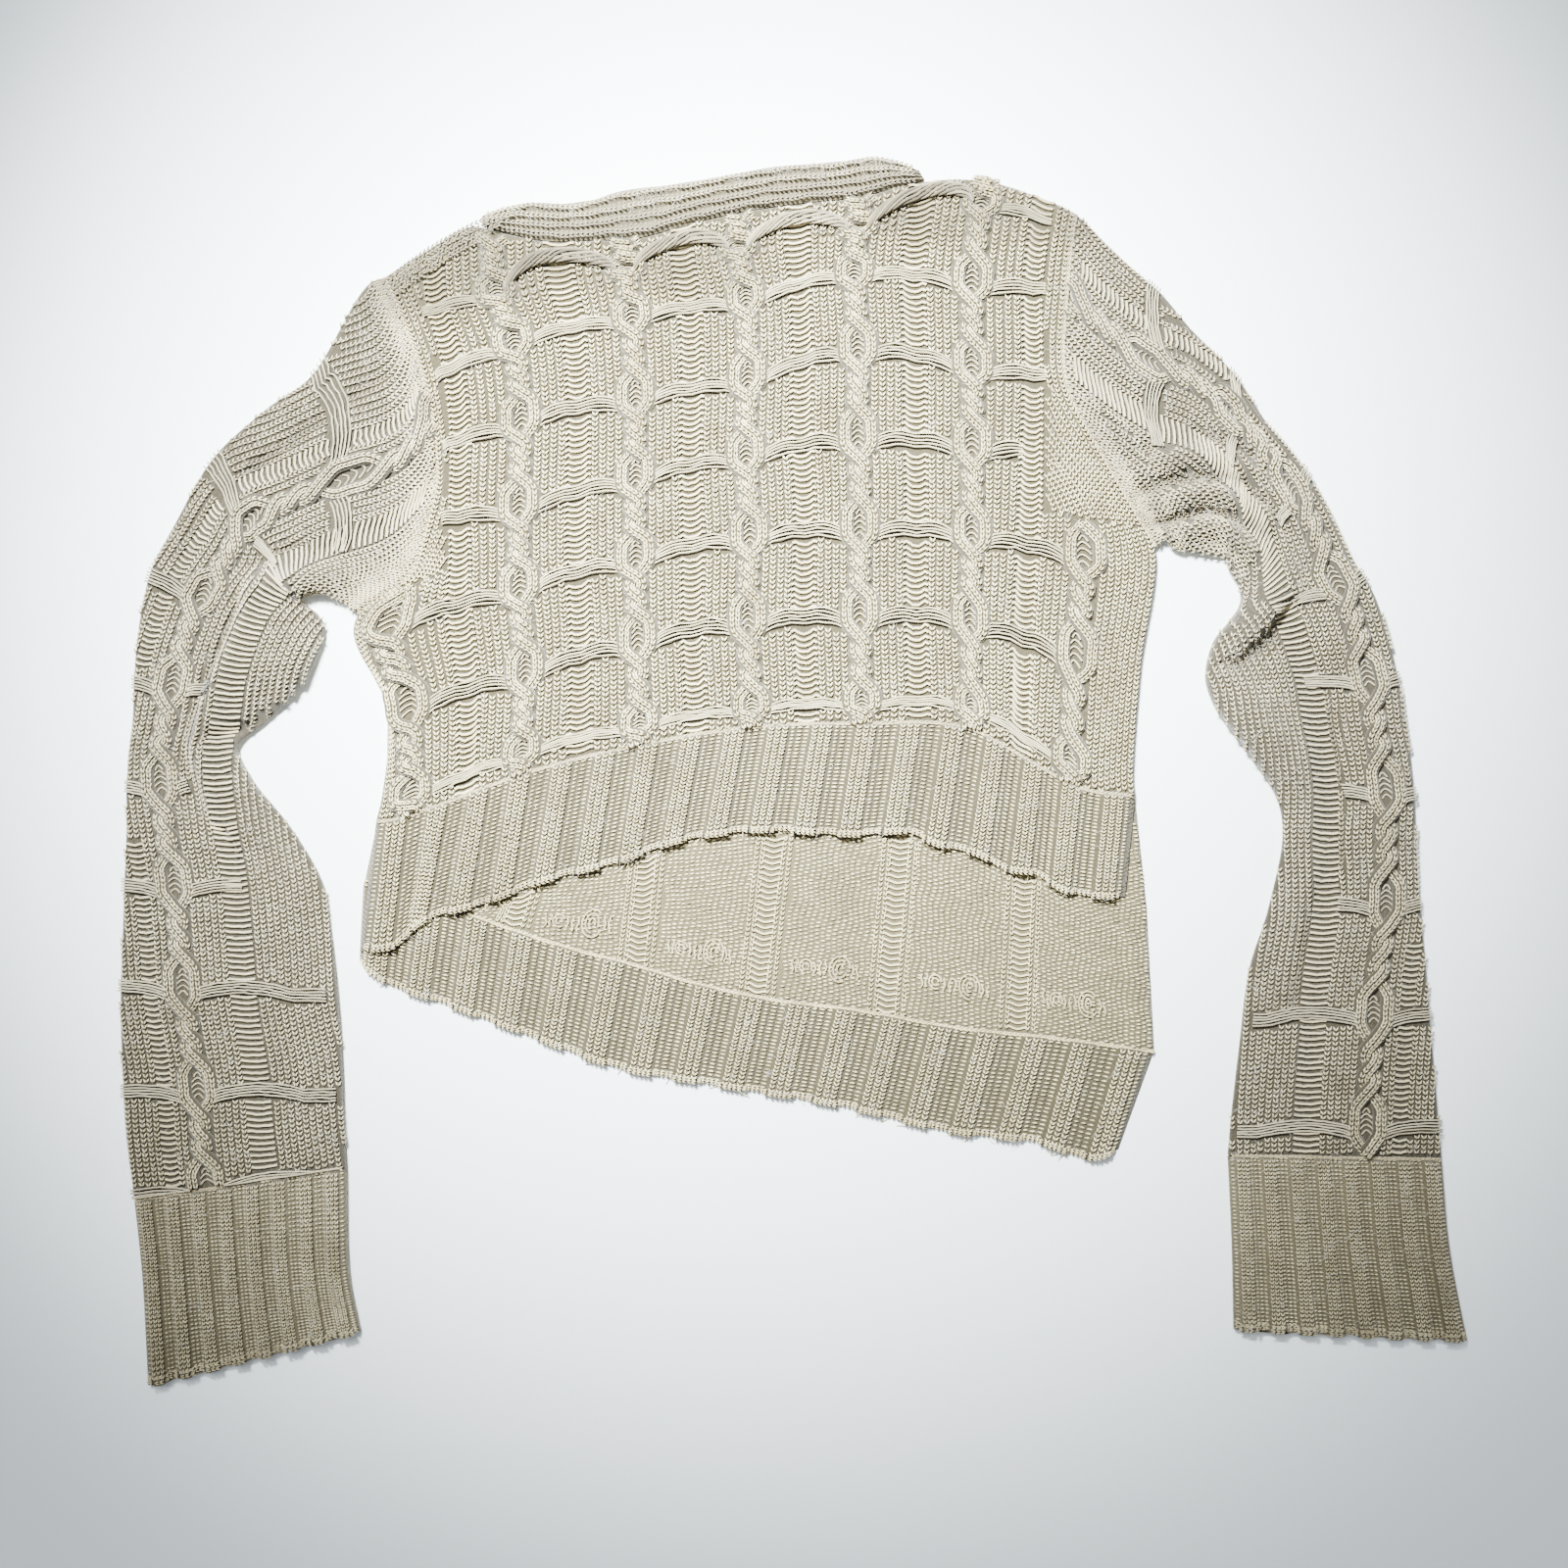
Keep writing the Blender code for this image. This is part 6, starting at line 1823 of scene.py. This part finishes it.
def mohair(name, stitches, count):
    """Fine loose hairs that stand off the cloth."""
    data = np.concatenate([part for item in stitches for part in item.parts])
    chosen = data[chance.integers(0, len(data), count)]
    yarns = Yarns()
    heading = chance.uniform(0.0, 2 * np.pi, count)
    turn = chance.normal(0.0, 1.1, count)
    reach = chance.uniform(3.0, 8.0, count)
    f = np.linspace(0.0, 1.0, 4)
    z = 0.5 + 1.0 * np.sin(np.pi * f * 0.8)
    for row, angle, bend, length in zip(chosen, heading, turn, reach):
        angles, step = (angle + bend * f)[1:], length / 3.0
        x = np.concatenate([[0.0], np.cumsum(np.cos(angles) * step)])
        y = np.concatenate([[0.0], np.cumsum(np.sin(angles) * step)])
        points = row[0:3] + np.stack([x, y, z * row[8]], axis=1)
        points[:, 2] = np.maximum(points[:, 2], 0.4)
        yarns.add(points, 0.1, 1.0 - 0.6 * f)
    return yarn_piece(name, yarns, hair_lengths, hair_yarn)


def at_height(line, height):
    """A flat line in the tables' millimetres, raised to a height."""
    return np.concatenate([line, np.full((len(line), 1), height)], axis=1)


def seam_chain(line, height, stitches, tone=-0.2):
    """A chain of stitches along a seam."""
    lengths = run_lengths(line)
    points = read_along(np.arange(1.5, lengths[-1] - 1.0, COURSE), lengths, line)
    ways = np.gradient(points, axis=0)
    ways /= np.linalg.norm(ways, axis=1)[:, None]
    outs = np.tile([0.0, 0.0, 1.0], (len(points), 1))
    stitches.add(at_height(points, height), at_height(ways, 0.0), outs, np.ones((len(points), 3)),
                 tone)


def seam_cord(line, height, cords):
    """A yarn in a seam's gap, so that nothing under the garment shows through it; dark as painted
    shade.
    """
    cords.add(at_height(line, height - CORD_DEPTH), CORD_SHADE, CORD_THICK)


def frayed(cloth, count, yarns):
    """Loose ends of yarn along a cast-off edge."""
    columns = chance.uniform(0.02, 0.98, count)
    spot = cloth.read(cloth.rows[-1], columns)
    f = np.linspace(0.0, 1.0, 6)[:, None]
    for point, down, side in zip(spot.point, spot.down, spot.side):
        reach, bend = chance.uniform(2.0, 7.0), chance.normal(0.0, 3.0)
        path = point + down * reach * f + side * bend * f ** 2
        path[:, 2] = np.maximum(point[2] - 2.0 * f[:, 0], 0.6)
        yarns.add(path, 0.1, 0.55 - 0.25 * f[:, 0])


# The front

front = front_cloth()
front_columns = [-1.0, -0.93, -0.86, -0.6, -0.3]
for tile in range(TILES):
    front_columns += [tile + x / PITCH for x in np.arange(0.0, PITCH - 1.0, PITCH / 17)]
front_columns += [6.0, 6.1, 6.2, 6.3, 6.4, 6.5, 6.6, 6.7, 6.8, 6.9, 6.95, 7.0]
front_rows = np.concatenate([[0.0, 0.03, 0.06], np.arange(0.11, 7.42, 0.071), [7.44, 7.47, 7.5]])
front_panel = plate_piece("front_cloth", front, front_rows, np.array(front_columns), FRONT_FLOOR,
                          cream_cloth, "front_panel")
front_knit, front_rope, front_paths = Stitches(), Stitches(), []
front_yarn, front_ladder, front_twists = Yarns(), Yarns(), Yarns()
front_stitches(front, front_knit)
front_cables(front, front_rope, front_paths, front_yarn)
front_bars(front, front_yarn)
for tile in TWIST_TILES:
    twisted_bar(front, tile, front_twists)
front_rungs(front, front_ladder)
front_pieces = [
    stitch_piece("front_stitches", front_knit, knit_v, cream_yarn),
    stitch_piece("front_cable_stitches", front_rope, rope_v, cream_yarn),
    core_piece("front_cable_cores", front_paths, cream_cloth),
    yarn_piece("front_bars", front_yarn, yarn_lengths, bar_yarn),
    yarn_piece("front_ladders", front_ladder, rung_lengths, cream_yarn),
    yarn_piece("front_twisted_bars", front_twists, yarn_lengths, shade_yarn),
    mohair("front_mohair", (front_knit, front_rope), 1500),
]

# The front's hem

HEM_ROWS = np.concatenate([[0.0, 0.02], np.linspace(0.05, 0.93, 18), [0.955, 0.97, 0.985, 1.0]])
RIB_COLUMNS = 7


def hem_pieces(name, cloth, knit, purl, thread_count, yarn):
    """What is knitted on a hem: its ribs, its frayed edge and its hair."""
    threads = Yarns()
    frayed(cloth, thread_count, threads)
    return [
        stitch_piece(name + "_stitches", knit, knit_v, yarn),
        stitch_piece(name + "_purl", purl, purl_bump, yarn),
        yarn_piece(name + "_threads", threads, yarn_lengths, yarn),
        mohair(name + "_mohair", (knit,), 400),
    ]


front_hem = front_hem_cloth()
front_hem_columns = np.linspace(0.0, 1.0, FRONT_RIBS * RIB_COLUMNS + 1)
front_hem_base = plate_piece("front_hem_cloth", front_hem, HEM_ROWS, front_hem_columns,
                             FRONT_FLOOR, cream_cloth, "front_hem_rib")
front_hem_knit, front_hem_purl = Stitches(), Stitches()
ribs(front_hem, front_hem_knit, front_hem_purl, FRONT_RIBS, 28)
cast_off(front_hem, front_hem_knit)
front_hem_pieces = hem_pieces("front_hem", front_hem, front_hem_knit, front_hem_purl, 22,
                              cream_yarn)

# The back, seen from its inside below the front's hem

back = back_cloth()
back_columns = np.linspace(-1.3, 5.1, 129)
back_rows = np.concatenate([np.linspace(-2.0, -0.2, 20), [0.0, 0.02], np.linspace(0.06, 0.95, 20),
                            [0.98, 1.0]])
back_base = plate_piece("back_cloth", back, back_rows, back_columns, 0.0, cream_cloth, "back_panel",
                        BACK_BARE)
back_purl, back_knit, back_yarn = Stitches(), Stitches(), Yarns()
back_inside(back, back_purl, back_knit, back_yarn)
back_pieces = [
    stitch_piece("back_purl", back_purl, purl_bump, inside_yarn),
    stitch_piece("back_chains", back_knit, knit_v, inside_yarn),
    yarn_piece("back_ladders", back_yarn, rung_lengths, inside_yarn),
]

# The back's hem


def past_front_hem(spot):
    """Which spots lie in sight below the front's hem."""
    return edge_height(FRONT_HEM_EDGE, spot.point[..., 0]) - spot.point[..., 1] > 0.8


back_hem = back_hem_cloth()
back_hem_columns = np.linspace(0.0, 1.0, BACK_RIBS * RIB_COLUMNS + 1)
back_hem_base = plate_piece("back_hem_cloth", back_hem, HEM_ROWS, back_hem_columns, 0.0,
                            cream_cloth, "back_hem_rib")
back_hem_knit, back_hem_purl = Stitches(), Stitches()
ribs(back_hem, back_hem_knit, back_hem_purl, BACK_RIBS, 24, past_front_hem)
cast_off(back_hem, back_hem_knit, past_front_hem)
back_hem_pieces = hem_pieces("back_hem", back_hem, back_hem_knit, back_hem_purl, 26,
                             inside_yarn)

# Sleeves and cuffs

TUBE_EDGE = [0.0, 0.006, 0.014, 0.026]
TUBE_END = [0.974, 0.986, 0.994, 1.0]
arm_shares = np.concatenate([TUBE_EDGE, np.linspace(0.045, 0.955, 34), TUBE_END])
rib_shares = np.concatenate([TUBE_EDGE, np.linspace(0.04, 0.96, 50), TUBE_END])
for side, shape in (("left", Sleeve(LEFT_SLEEVE, LEFT_EYES, LEFT_FOLDS + LEFT_CREASES, 0)),
                    ("right", Sleeve(RIGHT_SLEEVE, RIGHT_EYES, RIGHT_FOLDS + RIGHT_CREASES, -1))):
    node = side + "_sleeve"
    arm = sleeve_cloth(shape)
    arm_rows = np.concatenate([[0.0, 1.5], np.linspace(4.0, arm.rows[-1] - 4.0, 118), arm.rows[-2:]])
    base = tube_piece(side + "_sleeve_cloth", arm, arm_rows, arm_shares, sleeve_cloth_yarn, node)
    arm_knit, arm_rope, arm_paths, arm_yarn, arm_rungs = Stitches(), Stitches(), [], Yarns(), Yarns()
    sleeve_knit(arm, shape, arm_knit, arm_rope, arm_paths, arm_yarn, arm_rungs)
    arm_pieces = [
        stitch_piece(side + "_sleeve_stitches", arm_knit, knit_v, sleeve_yarn),
        stitch_piece(side + "_cable_stitches", arm_rope, rope_v, sleeve_yarn),
        core_piece(side + "_cable_cores", arm_paths, sleeve_cloth_yarn),
        yarn_piece(side + "_bars", arm_yarn, yarn_lengths, sleeve_bar_yarn),
        yarn_piece(side + "_ladders", arm_rungs, rung_lengths, sleeve_yarn),
        mohair(side + "_mohair", (arm_knit,), 900),
    ]

for side, shape in (("left", Sleeve(LEFT_CUFF, (), (), None)),
                    ("right", Sleeve(RIGHT_CUFF, (), (), None))):
    node = side + "_cuff"
    rib = cuff_cloth(shape)
    rib_rows = np.concatenate([rib.rows[:1], np.linspace(rib.rows[2], rib.rows[-4], 22),
                               rib.rows[-3:]])
    base = tube_piece(side + "_cuff_cloth", rib, rib_rows, rib_shares, sleeve_cloth_yarn, node,
                      CUFF_BARE)
    rib_knit, rib_purl = Stitches(), Stitches()
    ribs(rib, rib_knit, rib_purl, CUFF_RIBS, 43, None, 0.01, 0.97, 0.01, 1.0)
    cast_off(rib, rib_knit)
    rib_pieces = [
        stitch_piece(side + "_cuff_stitches", rib_knit, knit_v, sleeve_yarn),
        stitch_piece(side + "_cuff_purl", rib_purl, purl_bump, sleeve_yarn),
        mohair(side + "_cuff_mohair", (rib_knit,), 250),
    ]

# Neckband

neck = neckband_cloth()
neck_rows = np.linspace(0.0, 1.0, 33)
neck_shares = np.concatenate([[0.0, 0.006], np.linspace(0.015, 0.985, 70), [0.994, 1.0]])
neck_base = tube_piece("neckband_cloth", neck, neck_rows, neck_shares, sleeve_cloth_yarn, "neckband",
                       NECK_BARE)
neck_knit, neck_lower, neck_purl = Stitches(), Stitches(), Stitches()
neckband_ribs(neck, neck_knit, neck_lower, neck_purl)
neck_pieces = [
    stitch_piece("neckband_stitches", neck_knit, knit_v, sleeve_yarn),
    stitch_piece("neckband_lower_stitches", neck_lower, knit_v, shade_yarn),
    stitch_piece("neckband_purl", neck_purl, purl_bump, sleeve_yarn),
    mohair("neckband_mohair", (neck_knit,), 200),
]

# Seams

seams, cords = Stitches(), Yarns()
for side, outward in ((0, -1.0), (-1, 1.0)):
    middle = np.array([outward * ARMHOLE_GAP / 2, 0.0])
    line = armhole(side, np.linspace(0.0, 0.985, 200)) + middle
    seam_chain(line, SEAM_HEIGHT + ARMHOLE_SEAM_RISE, seams)
    seam_cord(armhole(side, np.linspace(0.004, 0.996, 120)) + middle, SEAM_HEIGHT, cords)
for section in (LEFT_CUFF[0], RIGHT_CUFF[0]):
    ends = np.array([section.outer, section.inner], float)
    seam_chain(along_row(ends, np.linspace(0.0, 1.0, 60)), SEAM_HEIGHT, seams)
    seam_cord(along_row(ends, np.linspace(0.02, 0.98, 60)), SEAM_HEIGHT, cords)
foot_line = front_foot() - np.array([0.0, SEAM_GAP / 2])
seam_chain(foot_line, SEAM_HEIGHT, seams)
seam_cord(foot_line[4:-4], SEAM_HEIGHT, cords)
for inward, height, tone in ROLL_CHAINS:
    shares = np.linspace(0.0, 1.0 - 0.03 * inward, 80)
    seam_chain(even_curve(SHOULDER_ROLL, shares) + inward * INWARD, height, seams, tone)
hem_line = even_curve(BACK_HEM_SEAM, np.linspace(0.0, 1.0, FINE_COUNT))
hem_line = hem_line[edge_height(FRONT_HEM_EDGE, hem_line[:, 0]) - hem_line[:, 1] > 2.0]
hem_line = hem_line - np.array([0.0, SEAM_GAP / 2])
back_seam, back_cord = Stitches(), Yarns()
seam_chain(hem_line, WALL, back_seam)
seam_cord(hem_line, WALL, back_cord)
front_pieces += [
    stitch_piece("seam_stitches", seams, knit_v, sleeve_yarn),
    yarn_piece("seam_cords", cords, yarn_lengths, sleeve_yarn),
]
back_pieces += [
    yarn_piece("back_seam_cord", back_cord, yarn_lengths, inside_yarn),
    stitch_piece("back_seam_stitches", back_seam, knit_v, inside_yarn),
]

# Floor, light and camera

floor_mesh = bpy.data.meshes.new("floor")
floor_mesh.from_pydata([(-4, -4, 0), (4, -4, 0), (4, 4, 0), (-4, 4, 0)], [], [(0, 1, 2, 3)])
floor_mesh.materials.append(new_material("pale_paper", PAPER)[0])
floor = link_object("floor", floor_mesh)


def add_lamp(name, kind, place, target, energy, **settings):
    """A light at a place, turned to its target."""
    lamp = bpy.data.lights.new(name, kind)
    lamp.energy = energy
    for label, value in settings.items():
        setattr(lamp, label, value)
    obj = link_object(name, lamp)
    obj.location = place
    obj.rotation_euler = (Vector(target) - Vector(place)).to_track_quat("-Z", "Y").to_euler()
    return obj


KEY_PLACE = (-0.36, 0.74, 1.18)
KEY_TARGET = (-0.03, 0.13, 0.0)
COOL = (0.955, 0.995, 1.0)
add_lamp("top_light", "AREA", (0.0, 0.1, 2.0), (0.0, 0.1, 0.0), 4.0, shape="DISK", size=1.4)
key = add_lamp("key_light", "SPOT", KEY_PLACE, KEY_TARGET, 1290.0, color=COOL,
               spot_size=np.radians(37.0), spot_blend=1.0, shadow_soft_size=0.16)
key.scale = (1.04, 0.83, 1.0)
add_lamp("fill_light", "SUN", KEY_PLACE, KEY_TARGET, 1.7, color=COOL, angle=0.5)
world = bpy.data.worlds.new("studio")
world.use_nodes = True
background = world.node_tree.nodes["Background"]
background.inputs["Color"].default_value = (0.86, 0.92, 1.0, 1.0)
background.inputs["Strength"].default_value = 0.3
bpy.context.scene.world = world

camera_data = bpy.data.cameras.new("camera")
camera_data.sensor_width = 36.0
camera_data.lens = 49.5
camera = link_object("camera", camera_data)
camera.location = (-0.005, -0.0064, 1.1)
bpy.context.scene.camera = camera
